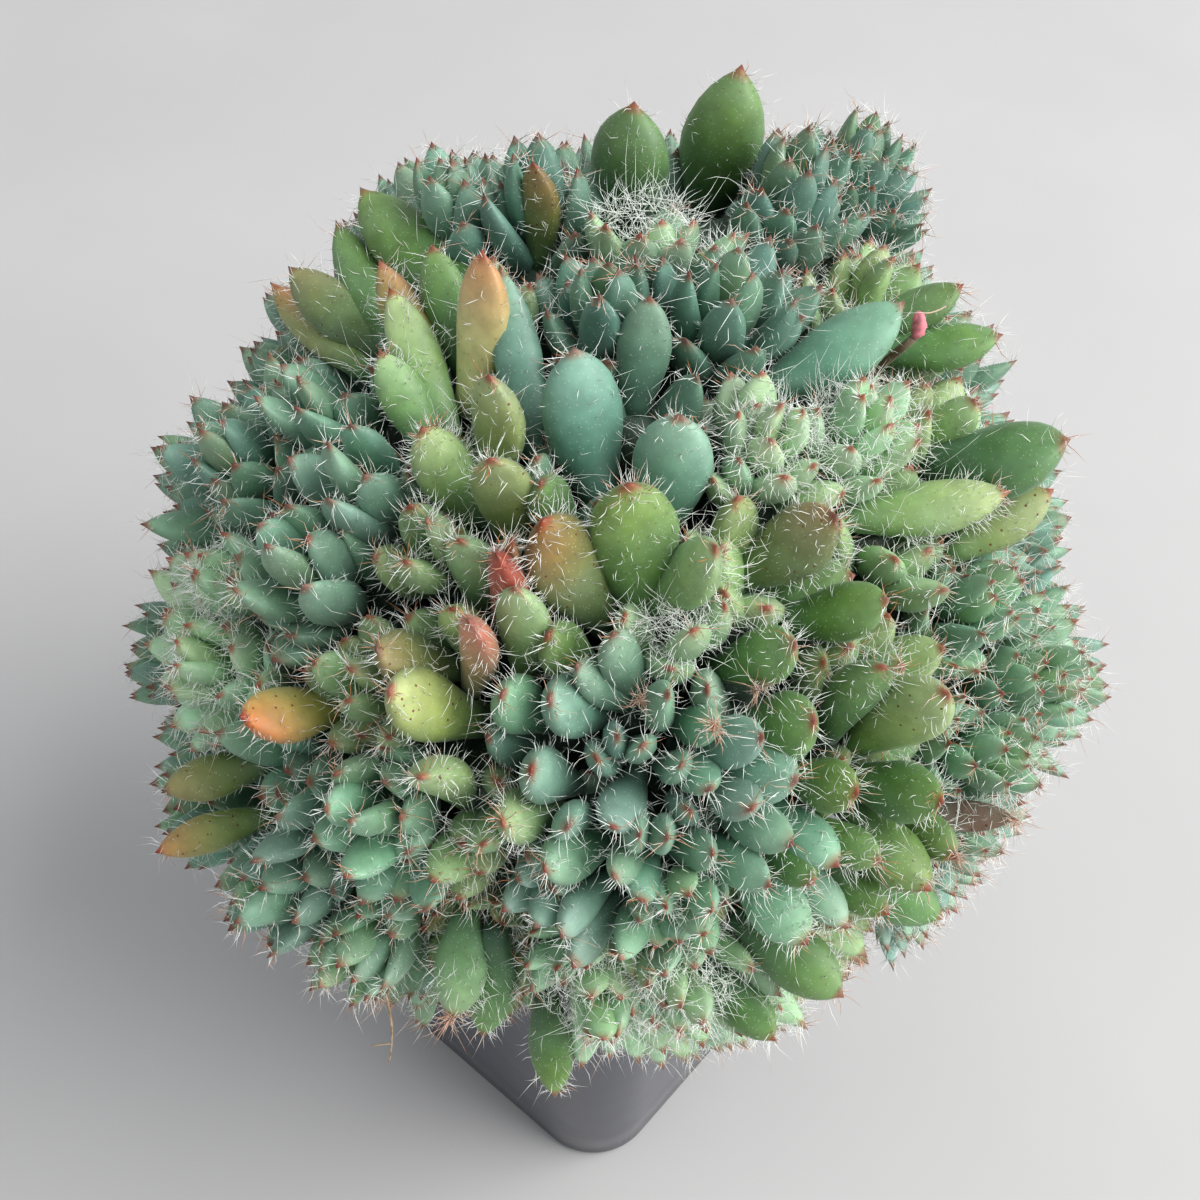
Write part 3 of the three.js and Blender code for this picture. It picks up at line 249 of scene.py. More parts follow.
# Leaves that stand out in the photograph, by shoot: tip, the lowest place where the leaf is seen, height of
# the tip on the mound, width, look, and how hairy it is.
STANDING_PLUMP = 1.05
STANDING_HAIRS = 0.4
STANDING = {
    "top_far_left": (
        ((362, 190), (436, 240), 1.03, 8.4, "green", 0.3),
        ((337, 223), (372, 296), 1.0, 5.6, "green", 0.5),
    ),
    "back_left": (
        ((290, 268), (338, 312), 1.0, 6.2, "olive", 0.5),
        ((272, 284), (318, 330), 0.97, 5.0, "amber_tip", 0.5),
    ),
    "ridge_top": (
        ((380, 262), (418, 352), 1.03, 5.0, "amber_tip", 0.7),
        ((432, 246), (440, 320), 1.04, 5.0, "green", 0.8),
        ((482, 252), (452, 352), 1.1, 6.4, "sunset", 0.35),
        ((390, 290), (424, 384), 1.02, 5.2, "pale", 1.3),
        ((500, 268), (516, 405), 1.04, 5.0, "blue", 0.3),
    ),
    "ridge_upper": (
        ((380, 352), (408, 420), 1.0, 5.0, "pale", 1.0),
        ((422, 428), (451, 492), 1.06, 6.0, "pale", 2.2),
        ((489, 376), (474, 452), 1.09, 6.4, "lime", 0.6),
        ((490, 459), (500, 522), 1.09, 6.2, "lime", 0.6),
    ),
    "club_left": (
        ((459, 540), (458, 596), 1.05, 5.8, "pale", 1.2),
        ((496, 554), (480, 622), 1.1, 5.4, "red", 0.7),
    ),
    "centre": (
        ((543, 520), (597, 606), 1.1, 8.0, "bronze", 0.8),
        ((629, 484), (642, 590), 1.09, 9.0, "green", 0.9),
        ((716, 547), (656, 594), 1.07, 6.4, "pale", 0.5),
        ((541, 482), (566, 520), 1.02, 5.4, "green", 1.3),
        ((512, 539), (526, 572), 1.08, 3.6, "amber_tip", 1.6),
    ),
    "centre_top": (
        ((574, 349), (598, 456), 1.08, 8.2, "blue", 0.25),
        ((650, 297), (640, 376), 1.05, 5.6, "blue", 0.25),
        ((680, 416), (668, 492), 1.05, 8.0, "blue", 0.4),
    ),
    "ridge_low": (
        ((514, 588), (509, 676), 1.07, 5.6, "pale", 1.0),
        ((468, 620), (451, 688), 1.09, 4.9, "pink", 1.0),
        ((376, 649), (428, 672), 1.05, 6.0, "olive", 0.8),
        ((389, 690), (448, 726), 1.07, 7.2, "lime", 0.4),
    ),
    "low_club": (
        ((420, 778), (444, 822), 1.09, 5.8, "lime", 0.9),
        ((502, 823), (536, 832), 1.03, 5.6, "pale", 1.6),
    ),
    "low_left_inner": (
        ((241, 717), (302, 716), 1.07, 6.2, "amber", 0.6),
    ),
    "low_left": (
        ((163, 790), (218, 784), 1.03, 5.0, "olive", 0.4),
    ),
    "low_left_edge": (
        ((157, 852), (220, 848), 1.05, 4.6, "amber_tip", 0.4),
    ),
    "top_mid": (
        ((634, 104), (636, 160), 1.1, 9.2, "forest", 0.15),
    ),
    "top_right": (
        ((741, 68), (722, 152), 1.16, 9.6, "green", 0.15),
    ),
    "shoulder_right": (
        ((962, 285), (902, 292), 1.03, 5.8, "green", 0.5),
        ((903, 303), (818, 345), 1.03, 7.6, "blue", 0.2),
    ),
    "side_right": (
        ((1068, 440), (982, 444), 1.1, 10.0, "forest", 0.1),
        ((1001, 335), (928, 327), 1.03, 6.2, "green", 0.4),
    ),
    "right_pale": (
        ((1052, 490), (1002, 537), 1.02, 5.4, "lime", 0.5),
        ((1008, 492), (905, 506), 1.03, 6.0, "pale", 1.4),
    ),
    "right_brown": (
        ((836, 516), (772, 562), 1.05, 7.4, "olive", 1.0),
        ((888, 600), (818, 614), 1.04, 6.2, "green", 0.4),
    ),
    "right_green": (
        ((948, 693), (898, 746), 1.08, 7.4, "lime", 0.4),
        ((884, 666), (866, 734), 1.04, 6.0, "green", 1.0),
    ),
    "right_low_green": (
        ((943, 802), (892, 804), 1.04, 6.4, "green", 0.8),
        ((929, 890), (891, 842), 1.03, 6.6, "green", 0.8),
        ((880, 862), (848, 852), 1.01, 4.6, "green", 2.0),
        ((858, 793), (824, 800), 1.01, 5.6, "green", 1.2),
    ),
    "right_low": (
        ((838, 866), (801, 836), 1.0, 5.2, "soft", 0.6),
        ((793, 845), (740, 828), 1.02, 5.0, "blue", 0.4),
    ),
    "low_right_green": (
        ((813, 884), (788, 870), 1.0, 4.8, "forest", 0.9),
        ((807, 944), (770, 910), 1.0, 6.2, "soft", 1.6),
        ((846, 928), (822, 902), 0.98, 4.2, "soft", 0.8),
        ((888, 914), (854, 905), 0.98, 4.6, "green", 1.6),
        ((942, 918), (880, 914), 0.98, 6.2, "forest", 0.5),
        ((842, 996), (776, 964), 1.02, 6.8, "forest", 0.4),
        ((956, 858), (926, 842), 1.02, 4.4, "green", 1.4),
    ),
    "top_left": (
        ((533, 163), (529, 208), 1.06, 5.2, "bronze", 0.6),
    ),
    "right_edge_low": (
        ((1014, 818), (962, 834), 1.01, 3.4, "dry", 2.2),
    ),
    "bottom": (
        ((774, 1040), (724, 1022), 1.0, 5.6, "forest", 0.8),
        ((555, 1096), (545, 1050), 1.02, 5.2, "forest", 0.8),
        ((561, 938), (604, 926), 1.0, 4.6, "bright", 0.5),
        ((573, 968), (612, 948), 1.0, 4.6, "bright", 0.5),
    ),
    "low_front": (
        ((452, 1018), (448, 972), 0.98, 6.0, "pale", 1.4),
        ((483, 1036), (478, 990), 0.97, 5.6, "forest", 1.4),
    ),
    "smooth_mid": (
        ((549, 699), (597, 727), 1.03, 6.4, "blue", 0.5),
        ((531, 770), (562, 800), 1.03, 5.8, "bright", 0.3),
        ((502, 694), (536, 733), 1.02, 6.0, "soft", 1.0),
    ),
    "low_small_hairy": (
        ((568, 828), (584, 852), 1.03, 4.6, "bright", 0.3),
        ((544, 870), (602, 867), 1.02, 5.8, "soft", 0.8),
        ((614, 878), (649, 870), 1.03, 4.2, "soft", 0.5),
        ((642, 902), (655, 876), 1.03, 4.2, "soft", 0.6),
        ((770, 886), (709, 874), 1.03, 4.6, "soft", 0.8),
    ),
    "small_mid": (
        ((613, 828), (636, 797), 1.04, 5.0, "bright", 0.3),
        ((715, 725), (678, 737), 1.03, 4.4, "soft", 0.5),
        ((681, 765), (662, 778), 1.03, 3.8, "soft", 0.5),
    ),
    "small_low": (
        ((640, 835), (660, 854), 1.04, 4.4, "bright", 0.3),
        ((668, 838), (684, 856), 1.04, 4.2, "soft", 0.4),
        ((752, 809), (724, 797), 1.04, 5.4, "bright", 0.5),
        ((713, 854), (676, 870), 1.03, 4.4, "soft", 0.6),
        ((710, 790), (692, 770), 1.03, 4.4, "blue", 0.6),
    ),
    "centre_hairy": (
        ((613, 633), (647, 700), 1.05, 4.8, "blue", 0.6),
        ((576, 665), (640, 707), 1.02, 4.4, "blue", 0.6),
        ((669, 694), (677, 724), 1.04, 4.8, "blue", 0.4),
        ((548, 634), (592, 672), 1.0, 5.8, "green", 1.6),
    ),
    "right_inner": (
        ((763, 737), (704, 757), 1.04, 5.4, "bright", 0.4),
        ((797, 781), (736, 773), 1.03, 6.6, "blue", 0.8),
        ((815, 720), (765, 744), 1.02, 7.2, "green", 0.8),
        ((796, 644), (746, 676), 1.02, 6.0, "green", 1.2),
    ),
}

# Withered tips with a tangle of brown hairs, the stub of a flower stalk and a hanging root: where the
# photograph shows them, with heights on the mound, sizes and colours.
WITHERED = (((757, 688), 0.95), ((714, 725), 1.03), ((640, 700), 0.985), ((386, 999), 0.947),
            ((956, 857), 1.015), ((1012, 817), 1.005), ((452, 1017), 0.977))
TANGLE = {"hairs": 46, "spread": 0.25, "out": 0.5, "stray": 0.6, "bend": 0.6, "length": (1.0, 2.6),
          "amber": (0.3, 0.9)}
STUB = {"from": (914, 338), "to": (917, 312), "heights": (0.99, 1.03), "bow": 0.4, "radius": 0.75,
        "swell": (0.5, 0.8, 1.0, 0.9, 1.1, 0.9, 1.0, 0.75, 0.4), "sides": 12, "colour": (214, 124, 134),
        "foot": 9.0, "foot_radius": 0.5, "thread": (946, 306), "thread_sag": 0.5, "thread_radius": 0.09}
ROOT = {"from": (386, 996), "height": 0.97, "fall": 17.0, "drift": -1.4, "bow": 0.5, "radius": 0.14,
        "taper": (1.3, 0.7), "twig_at": 7, "twig": (-2.4, 0.7), "twig_share": 0.6, "inner": 8.0,
        "colour": (196, 170, 142)}

# Looks of a leaf, as it is lit: colour at the root, in the middle, near the tip and of the point. The dark
# root colour is partly the leaf's deeper green base and partly painted shade deep in the rosette.
LOOKS = {
    "blue": ((40, 80, 62), (108, 152, 130), (150, 188, 162), (126, 44, 32)),
    # A darker copy of the blue look, for the top shoots: painted shade.
    "deep": ((34, 68, 54), (88, 130, 112), (122, 162, 140), (118, 42, 30)),
    # A lighter copy of the blue look, for the small shoots and leaves low in front: painted light.
    "bright": ((46, 84, 64), (117, 156, 135), (158, 191, 170), (134, 48, 34)),
    "soft": ((48, 92, 60), (118, 166, 132), (162, 200, 166), (138, 50, 34)),
    "hairy": ((78, 122, 80), (150, 196, 150), (192, 226, 184), (160, 66, 44)),
    # A lighter copy of the hairy look, for the left and the right hairy shoots: painted light.
    "frost": ((92, 138, 94), (172, 214, 168), (206, 236, 198), (164, 70, 46)),
    "pale": ((68, 112, 58), (142, 178, 116), (180, 204, 150), (150, 62, 40)),
    "green": ((50, 92, 40), (100, 138, 68), (132, 162, 92), (146, 56, 34)),
    "forest": ((36, 74, 40), (80, 122, 62), (118, 154, 80), (146, 56, 34)),
    "lime": ((86, 130, 58), (152, 174, 100), (178, 194, 132), (162, 66, 40)),
    "olive": ((68, 100, 56), (118, 136, 78), (156, 140, 88), (108, 44, 30)),
    "bronze": ((58, 96, 50), (116, 126, 66), (156, 122, 68), (150, 54, 34)),
    "amber_tip": ((84, 128, 62), (158, 168, 96), (208, 150, 98), (170, 56, 38)),
    "amber": ((104, 136, 72), (182, 176, 100), (204, 132, 72), (168, 48, 34)),
    "sunset": ((206, 208, 140), (238, 224, 158), (240, 164, 112), (184, 56, 40)),
    "red": ((190, 130, 84), (214, 96, 66), (190, 56, 46), (130, 34, 28)),
    "pink": ((160, 160, 110), (214, 162, 130), (216, 128, 112), (158, 56, 44)),
    "dry": ((92, 78, 66), (140, 112, 98), (158, 124, 104), (116, 72, 52)),
}
BLUSHING = ("olive", "bronze", "amber_tip", "amber", "sunset", "red", "pink", "dry")
PLUMPNESS = {"dry": 0.4}
DOTTED = {"green": 0.4, "pale": 0.3, "forest": 0.4, "lime": 1.0, "olive": 0.8, "bronze": 1.0,
          "amber_tip": 0.8, "amber": 1.0, "sunset": 0.3, "red": 0.8, "pink": 0.6, "dry": 1.0}
# Shoots that take a darker or lighter copy of their kind's look by where they sit on the mound: painted
# shade on the top shoots, painted light on the low front and hairy ones.
LOOK_OF_SHOOT = {"top_mid_low": "deep", "top_left": "deep", "top_right": "deep", "top_far_right": "deep",
                 "upper_right": "deep", "centre_top": "deep", "left_hairy": "frost", "crown_right": "frost",
                 "smooth_mid": "bright", "right_inner": "bright", "right_low": "bright"}
LOOK_OF_KIND = {"blue": "blue", "hairy": "hairy", "mixed": "soft", "small": "bright", "green": "pale",
                "full": "blue"}
RUST_COLOUR = (160, 100, 52)
BUD_COLOUR = (186, 214, 132)
# Near-black green of the core under the leaves: painted shade.
CORE_SHADE_COLOUR = (44, 58, 40)
SCAR_COLOUR = (84, 66, 46)
BARK_COLOUR = (112, 90, 68)
POT_COLOUR = (66, 68, 78)
FLOOR_COLOUR = (204, 202, 200)
HAIR_WHITE = (248, 250, 244)
HAIR_AMBER = (204, 128, 74)
BLOOM_COLOUR = (176, 208, 194)
SPECKLE_COLOUR = (214, 230, 214)
DOT_COLOUR = (112, 46, 30)
NOISE_SPAN = (0.32, 0.68)

# The floor, the light from all round and the two soft lamps, in the layout and in watts.
FLOOR_HALF = 3.0
WORLD = {"colour": (0.92, 0.95, 1.0, 1.0), "strength": 0.51}
LIGHTS = {
    "key": {"at": (1050.0, -200.0, 1150.0), "size": 1.3, "power": 21.0},
    "low": {"at": (1100.0, -500.0, 320.0), "size": 0.8, "power": 4.0},
}

SEED = 5
random = np.random.default_rng(SEED)


def linear(colour):
    """A colour given from 0 to 255 as the linear values that a mesh stores."""
    share = np.asarray(colour, float) / 255
    return np.where(share <= 0.04045, share / 12.92, ((share + 0.055) / 1.055) ** 2.4)


def unit(vector):
    """The vector, or each row of vectors, with length 1."""
    return vector / np.linalg.norm(vector, axis=-1, keepdims=True)


def blend(low, high, share):
    """Between two values, by share."""
    return low + (high - low) * share


def across(axis):
    """Two directions that are square to an axis and to each other."""
    east = unit(np.cross(UP, axis))
    return east, np.cross(axis, east)


def around(x, y, turn):
    """Directions at turns from x towards y, one to a row."""
    return x * np.cos(turn)[:, None] + y * np.sin(turn)[:, None]


def turns(sides):
    """The turns of the points round a ring."""
    return 2 * math.pi * np.arange(sides) / sides


def placed(name, data):
    """A new object in the scene with the mesh, camera or lamp that is given."""
    piece = bpy.data.objects.new(name, data)
    bpy.context.scene.collection.objects.link(piece)
    return piece


def turned(points):
    """Points of the layout in metres in the CAD's frame."""
    turn = math.radians(VIEW_TURN)
    matrix = np.array((
        (math.cos(turn), -math.sin(turn), 0),
        (math.sin(turn), math.cos(turn), 0),
        (0, 0, 1),
    ))
    return points @ matrix.T * MILLIMETRE


def eye_frame():
    """The eye's place, and its right, up and forward directions, in the layout."""
    tilt = math.radians(EYE["elevation"])
    forward = np.array((0, math.cos(tilt), -math.sin(tilt)))
    up = np.array((0, math.sin(tilt), math.cos(tilt)))
    eye = np.array(EYE["aim"]) - EYE["distance"] * forward
    return eye, EAST, up, forward


def on_mound(pixel, height):
    """Where the line of sight through a pixel meets the mound, or passes nearest to it."""
    eye, right, up, forward = eye_frame()
    ray = forward + right * (pixel[0] - EYE["centre"]) / EYE["focal"]
    ray = ray - up * (pixel[1] - EYE["centre"]) / EYE["focal"]
    size = MOUND * height
    start = (eye - HEART) / size
    step = ray / size
    a = step @ step
    b = step @ start
    reach = max(b * b - a * (start @ start - 1), 0)
    return eye + ray * (-b - math.sqrt(reach)) / a


def bearing_point(bearing, tilt, height):
    """A point on the mound by bearing and tilt, when it is scaled to a height."""
    side = math.sin(math.radians(tilt))
    turn = math.radians(bearing)
    way = np.array((side * math.sin(turn), -side * math.cos(turn), math.cos(math.radians(tilt))))
    return HEART + MOUND * height * way


def place_rosettes():
    """Every rosette with its place, axis, facing and crown."""
    rosettes = []
    entries = [(*entry, True) for entry in SEEN]
    for shoot, bearing, tilt, height in UNSEEN:
        entries.append((shoot, "full", (bearing, tilt), UNSEEN_REACH, height, 1.0, False))
    for shoot, kind, place, reach, height, size, seen in entries:
        surface = on_mound(place, height) if seen else bearing_point(*place, height)
        axis = unit(surface - HEART)
        lift = np.clip((axis[2] - LIFT["from"]) / LIFT["over"], 0, 1) if seen else UNSEEN_LIFT
        facing = unit(axis + UP * LIFT["most"] * lift)
        rosettes.append({
            "shoot": shoot, "kind": kind, "reach": reach, "seen": seen, "surface": surface, "axis": axis,
            "height": height, "size": size, "facing": facing, "crown": surface - axis * CROWN_INSET,
            "phase": 360 * random.random(),
        })
    return rosettes


def find_walls(rosette, rosettes):
    """The planes through the heart that part a rosette from its neighbours, and its room between them."""
    found = []
    for other in rosettes:
        if other is rosette:
            continue
        apart = math.acos(np.clip(rosette["axis"] @ other["axis"], -1, 1))
        if apart > math.radians(WALLS["within"]):
            continue
        share = apart * rosette["reach"] / (rosette["reach"] + other["reach"])
        hinge = unit(np.cross(rosette["axis"], other["axis"]))
        line = rosette["axis"] * math.cos(share) + np.cross(hinge, rosette["axis"]) * math.sin(share)
        found.append((share, unit(np.cross(hinge, line))))
    found.sort(key=lambda wall: wall[0])
    rosette["walls"] = np.array([normal for _, normal in found])
    near = [apart for apart, _ in found[:WALLS["nearest"]]]
    rosette["room"] = sum(near) / len(near) * np.linalg.norm(rosette["surface"] - HEART)


def leaf_between(root, tip, axis, width):
    """A leaf from its root to its tip, bowed with its upper face towards the axis."""
    chord = tip - root
    length = np.linalg.norm(chord)
    way = chord / length
    up = axis - way * (axis @ way)
    if np.linalg.norm(up) < STRAIGHT:
        up = UP - way * way[2]
    up = unit(up)
    bow = -up * math.tan(math.radians(BOW)) * length
    return {"root": root, "chord": chord, "bow": bow, "way": way, "up": up, "side": np.cross(up, way),
            "length": length, "width": width}


def note_leaf(leaf, rosette, look, hairs, plump, share=1.0, stands=False):
    """Notes on a leaf what it belongs to, how it looks and how far out it sits on its rosette."""
    leaf.update(rosette=rosette, look=look, hairs=hairs, plump=plump, share=share, stands=stands)
    return leaf


def leaf_centre(leaf, along):
    """Points on the leaf's middle line."""
    along = np.asarray(along, float)[..., None]
    return leaf["root"] + leaf["chord"] * along + leaf["bow"] * along * (1 - along)


def leaf_up(leaf, along):
    """The direction square to the middle line, on the upper side."""
    along = np.asarray(along, float)[..., None]
    way = unit(leaf["chord"] + leaf["bow"] * (1 - 2 * along))
    return unit(leaf["up"] - way * (way @ leaf["up"])[..., None])


def is_on_pot(leaf):
    """Whether a leaf comes down on the pot or the mix."""
    placed = turned(leaf_centre(leaf, (FIRST_STATION, *STATIONS))) / MILLIMETRE
    clear = leaf["width"] * THICKNESS / 2
    over = (np.abs(placed[:, :2]) < POT_KEEP_OUT["side"] + clear).all(axis=1)
    return (over & (placed[:, 2] < POT_KEEP_OUT["top"] + clear)).any()


def seen_places(leaf, along):
    """Where the eye sees points of a leaf's middle line: pixels across and down, and how far off."""
    eye, right, up, forward = eye_frame()
    away = leaf_centre(leaf, along) - eye
    far = away @ forward
    pixels = np.stack((away @ right, -(away @ up)), axis=1) / far[:, None] * EYE["focal"] + EYE["centre"]
    return pixels, far


def note_view(leaves):
    """Notes what the eye should see of the leaves that stand out, so that no other leaf covers them."""
    view = {"pixels": [], "far": [], "reach": []}
    for leaf in leaves:
        pixels, far = seen_places(leaf, IN_VIEW["standing"])
        view["pixels"].append(pixels)
        view["far"].append(far)
        view["reach"].append(IN_VIEW["share"] * leaf["width"] / 2 / far * EYE["focal"])
    return {name: np.concatenate(parts) for name, parts in view.items()}


def covers(leaf, view):
    """Whether a leaf comes between the eye and a leaf that stands out."""
    pixels, far = seen_places(leaf, IN_VIEW["other"])
    apart = np.linalg.norm(pixels[:, None] - view["pixels"][None], axis=2)
    reach = leaf["width"] / 2 / far * EYE["focal"] * IN_VIEW["share"]
    over = apart < reach[:, None] + view["reach"][None]
    return (over & (far[:, None] < view["far"][None] + IN_VIEW["slack"])).any()


def is_clear(leaf, walls):
    """Whether a leaf keeps within its rosette's walls and off the pot."""
    along = np.array((FIRST_STATION, *STATIONS))
    need = np.where(along < 1, leaf["width"] / 2 * WALLS["leaf_share"], WALLS["tip_margin"])
    if ((leaf_centre(leaf, along) - HEART) @ walls.T > -need[:, None]).any():
        return False
    return not is_on_pot(leaf)


def is_blocked(leaf, standing):
    """Whether a leaf comes too close to one that stands out."""
    for other in standing:
        along = (NEAR["own" if other["rosette"] is leaf["rosette"] else "other"], *STATIONS)
        apart = leaf_centre(leaf, along)[:, None] - leaf_centre(other, along)[None]
        if np.linalg.norm(apart, axis=2).min() < NEAR["widths"] * (leaf["width"] + other["width"]):
            return True
    return False


def spiral_leaf(rosette, share, azimuth, pitch, stretch):
    """One leaf of a rosette: share is 0 for the innermost and 1 for the outermost."""
    kind = KINDS[rosette["kind"]]
    axis = rosette["facing"]
    east, north = across(axis)
    out = east * math.cos(math.radians(azimuth)) + north * math.sin(math.radians(azimuth))
    size = rosette["size"]
    grown = share ** SPIRAL["growth"]
    root = rosette["crown"] - axis * size * blend(ROOT_DEPTH["inner"], ROOT_DEPTH["outer"], share)
    length = size * blend(kind["inner"][0], kind["outer"][0], grown) * stretch
    turn = math.radians(pitch)
    tip = root + length * (axis * math.cos(turn) + out * math.sin(turn))
    width = size * blend(kind["inner"][1], kind["outer"][1], grown)
    return leaf_between(root, tip, axis, width)


def spiral_leaves(rosette, standing, view):
    """The leaves of a rosette, from the outermost inwards."""
    kind = KINDS[rosette["kind"]]
    count = round(kind["crowding"] * (rosette["room"] / (kind["outer"][1] * rosette["size"])) ** 2)
    leaves = []
    for i in range(count):
        share = math.sqrt((count - i - 0.5) / count)
        azimuth = rosette["phase"] + i * GOLDEN_ANGLE + random.uniform(-SPIRAL["wander"], SPIRAL["wander"])
        stretch = random.uniform(*SPIRAL["stretch"])
        lean = random.uniform(*SPIRAL["lean"])
        pitch = kind["spread"]
        while pitch > LEAST_PITCH:
            if is_clear(spiral_leaf(rosette, 1, azimuth, pitch, stretch), rosette["walls"]):
                break
            pitch -= PITCH_STEP
        leaf = spiral_leaf(rosette, share, azimuth, pitch * share ** BUD_CLOSING * lean, stretch)
        note_leaf(leaf, rosette, rosette["look"], kind["hairs"], kind["plump"], share=share)
        if is_clear(leaf, rosette["walls"]) and not is_blocked(leaf, standing) and not covers(leaf, view):
            leaves.append(leaf)
    return leaves


def standing_leaves(rosettes):
    """The leaves that stand out, each on the rosette of its shoot that is nearest to its tip."""
    leaves = []
    for shoot, rows in STANDING.items():
        own = [rosette for rosette in rosettes if rosette["shoot"] == shoot]
        for pixel, base, height, width, look, hairs in rows:
            tip = on_mound(pixel, height)
            through = on_mound(base, THROUGH["height"])
            rosette = own[np.argmin([np.linalg.norm(each["crown"] - tip) for each in own])]
            root = tip + (through - tip) / (1 - THROUGH["along"]) - rosette["axis"] * THROUGH["sink"]
            leaf = leaf_between(root, tip, rosette["facing"], width)
            plump = PLUMPNESS.get(look, STANDING_PLUMP)
            leaves.append(note_leaf(leaf, rosette, look, STANDING_HAIRS * hairs, plump, stands=True))
    return leaves


def mound_points(spacing):
    """Directions from the heart, spread evenly, that point at the mound's leafy part."""
    count = round(4 * math.pi * (MOUND[0] / spacing) ** 2)
    height = 1 - 2 * (np.arange(count) + 0.5) / count
    turn = math.pi * (1 + math.sqrt(5)) * np.arange(count)
    side = np.sqrt(1 - height ** 2)
    ways = np.stack((side * np.cos(turn), side * np.sin(turn), height), axis=1)
    return ways[height > math.cos(math.radians(FILL["lowest_tilt"]))]


def fill_leaves(rosettes, leaves, view):
    """Leaves that close the gaps between the spirals, each on the rosette in whose cell the gap lies."""
    ways = mound_points(FILL["spacing"])
    ways = ways[random.permutation(len(ways))]
    axes = np.array([unit((rosette["surface"] - HEART) / MOUND) for rosette in rosettes])
    reaches = np.array([rosette["reach"] for rosette in rosettes])
    owner = (np.arccos(np.clip(ways @ axes.T, -1, 1)) / reaches).argmin(axis=1)
    heights = np.array([rosette["height"] for rosette in rosettes])[owner]
    spots = HEART + MOUND * ways * (heights * random.uniform(*FILL["height"], len(ways)))[:, None]
    gap = clear_space(spots, leaves)
    made = []
    for index, spot in enumerate(spots):
        rosette = rosettes[owner[index]]
        kind = KINDS[rosette["kind"]]
        if gap[index] < FILL["gap"] * rosette["size"] * kind["outer"][1]:
            continue
        root = rosette["crown"] - rosette["facing"] * random.uniform(*FILL["root"])
        width = rosette["size"] * blend(kind["inner"][1], kind["outer"][1], random.uniform(*FILL["width"]))
        leaf = leaf_between(root, spot, rosette["facing"], width)
        if is_on_pot(leaf) or covers(leaf, view):
            continue
        made.append(note_leaf(leaf, rosette, rosette["look"], kind["hairs"], kind["plump"]))
        for point in leaf_centre(leaf, FILL["stations"]):
            gap = np.minimum(gap, np.linalg.norm(spots - point, axis=1))
    return made


def clear_space(spots, leaves):
    """How far each spot is from the nearest leaf."""
    taken = [leaf_centre(leaf, FILL["standing" if leaf["stands"] else "stations"]) for leaf in leaves]
    taken = np.concatenate(taken)
    gap = np.full(len(spots), np.inf)
    for start in range(0, len(taken), FILL["chunk"]):
        apart = np.linalg.norm(spots[:, None] - taken[None, start:start + FILL["chunk"]], axis=2)
        gap = np.minimum(gap, apart.min(axis=1))
    return gap


def leaf_section(leaf, along, turn):
    """Points on a leaf's skin, at shares of its length and turns round it, and the normals there."""
    wide = np.interp(along, OUTLINE["along"], OUTLINE["wide"]) * leaf["width"] / 2
    thick = np.interp(along, OUTLINE["along"], OUTLINE["thick"]) * leaf["width"] * THICKNESS * leaf["plump"]
    face = np.where(np.sin(turn) > 0, UPPER_SHARE, 1 - UPPER_SHARE)
    up = leaf_up(leaf, along)
    x = (wide * np.cos(turn))[..., None]
    y = (thick * face * np.sin(turn))[..., None]
    points = leaf_centre(leaf, along) + leaf["side"] * x + up * y
    normals = leaf["side"] * (np.cos(turn) / wide)[..., None]
    normals = unit(normals + up * (np.sin(turn) / (thick * face))[..., None])
    return points, normals


class Body:
    """Points, triangles and colours of one piece, gathered before its mesh is made."""

    def __init__(self):
        self.points = []
        self.faces = []
        self.colours = []
        self.marks = []
        self.count = 0

    def add(self, points, faces, colours, marks=0.0):
        """Adds a closed form with a colour for each point and a mark for each point."""
        self.points.append(points)
        self.faces.append(faces + self.count)
        self.colours.append(np.broadcast_to(colours, points.shape))
        self.marks.append(np.broadcast_to(marks, points.shape[:1]))
        self.count += len(points)

    def build(self, name, material, smooth=True, laid_out=True):
        """The piece as an object that rides on the pot's body, from the layout or on the pot's own axes."""
        points = np.concatenate(self.points)
        points = turned(points) if laid_out else points * MILLIMETRE
        faces = np.concatenate(self.faces)
        mesh = bpy.data.meshes.new(name)
        mesh.from_pydata(points.tolist(), [], faces.tolist())
        colours = np.ones((len(points), 4), np.float32)
        colours[:, :3] = np.concatenate(self.colours)
        tint = mesh.attributes.new("tint", "FLOAT_COLOR", "POINT")
        tint.data.foreach_set("color", colours.ravel())
        mark = mesh.attributes.new("mark", "FLOAT", "POINT")
        mark.data.foreach_set("value", np.concatenate(self.marks).astype(np.float32))
        mesh.polygons.foreach_set("use_smooth", [smooth] * len(faces))
        mesh.materials.append(material)
        piece = placed(name, mesh)
        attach(piece, "root")
        return piece


def band_faces(rings, sides):
    """Triangles between rings of points, each ring stitched to the next."""
    faces = []
    for ring in range(rings - 1):
        for i in range(sides):
            a = ring * sides + i
            b = ring * sides + (i + 1) % sides
            faces += [(a, b, b + sides), (a, b + sides, a + sides)]
    return faces


def tube_faces(rings, sides, pointed):
    """Triangles of a closed form: a flat end, rings of points stitched together, a point or a flat end."""
    faces = [(0, i + 1, i) for i in range(1, sides - 1)]
    faces += band_faces(rings, sides)
    last = (rings - 1) * sides
    if pointed:
        faces += [(last + i, last + (i + 1) % sides, rings * sides) for i in range(sides)]
    else:
        faces += [(last, last + i, last + i + 1) for i in range(1, sides - 1)]
    return np.array(faces)


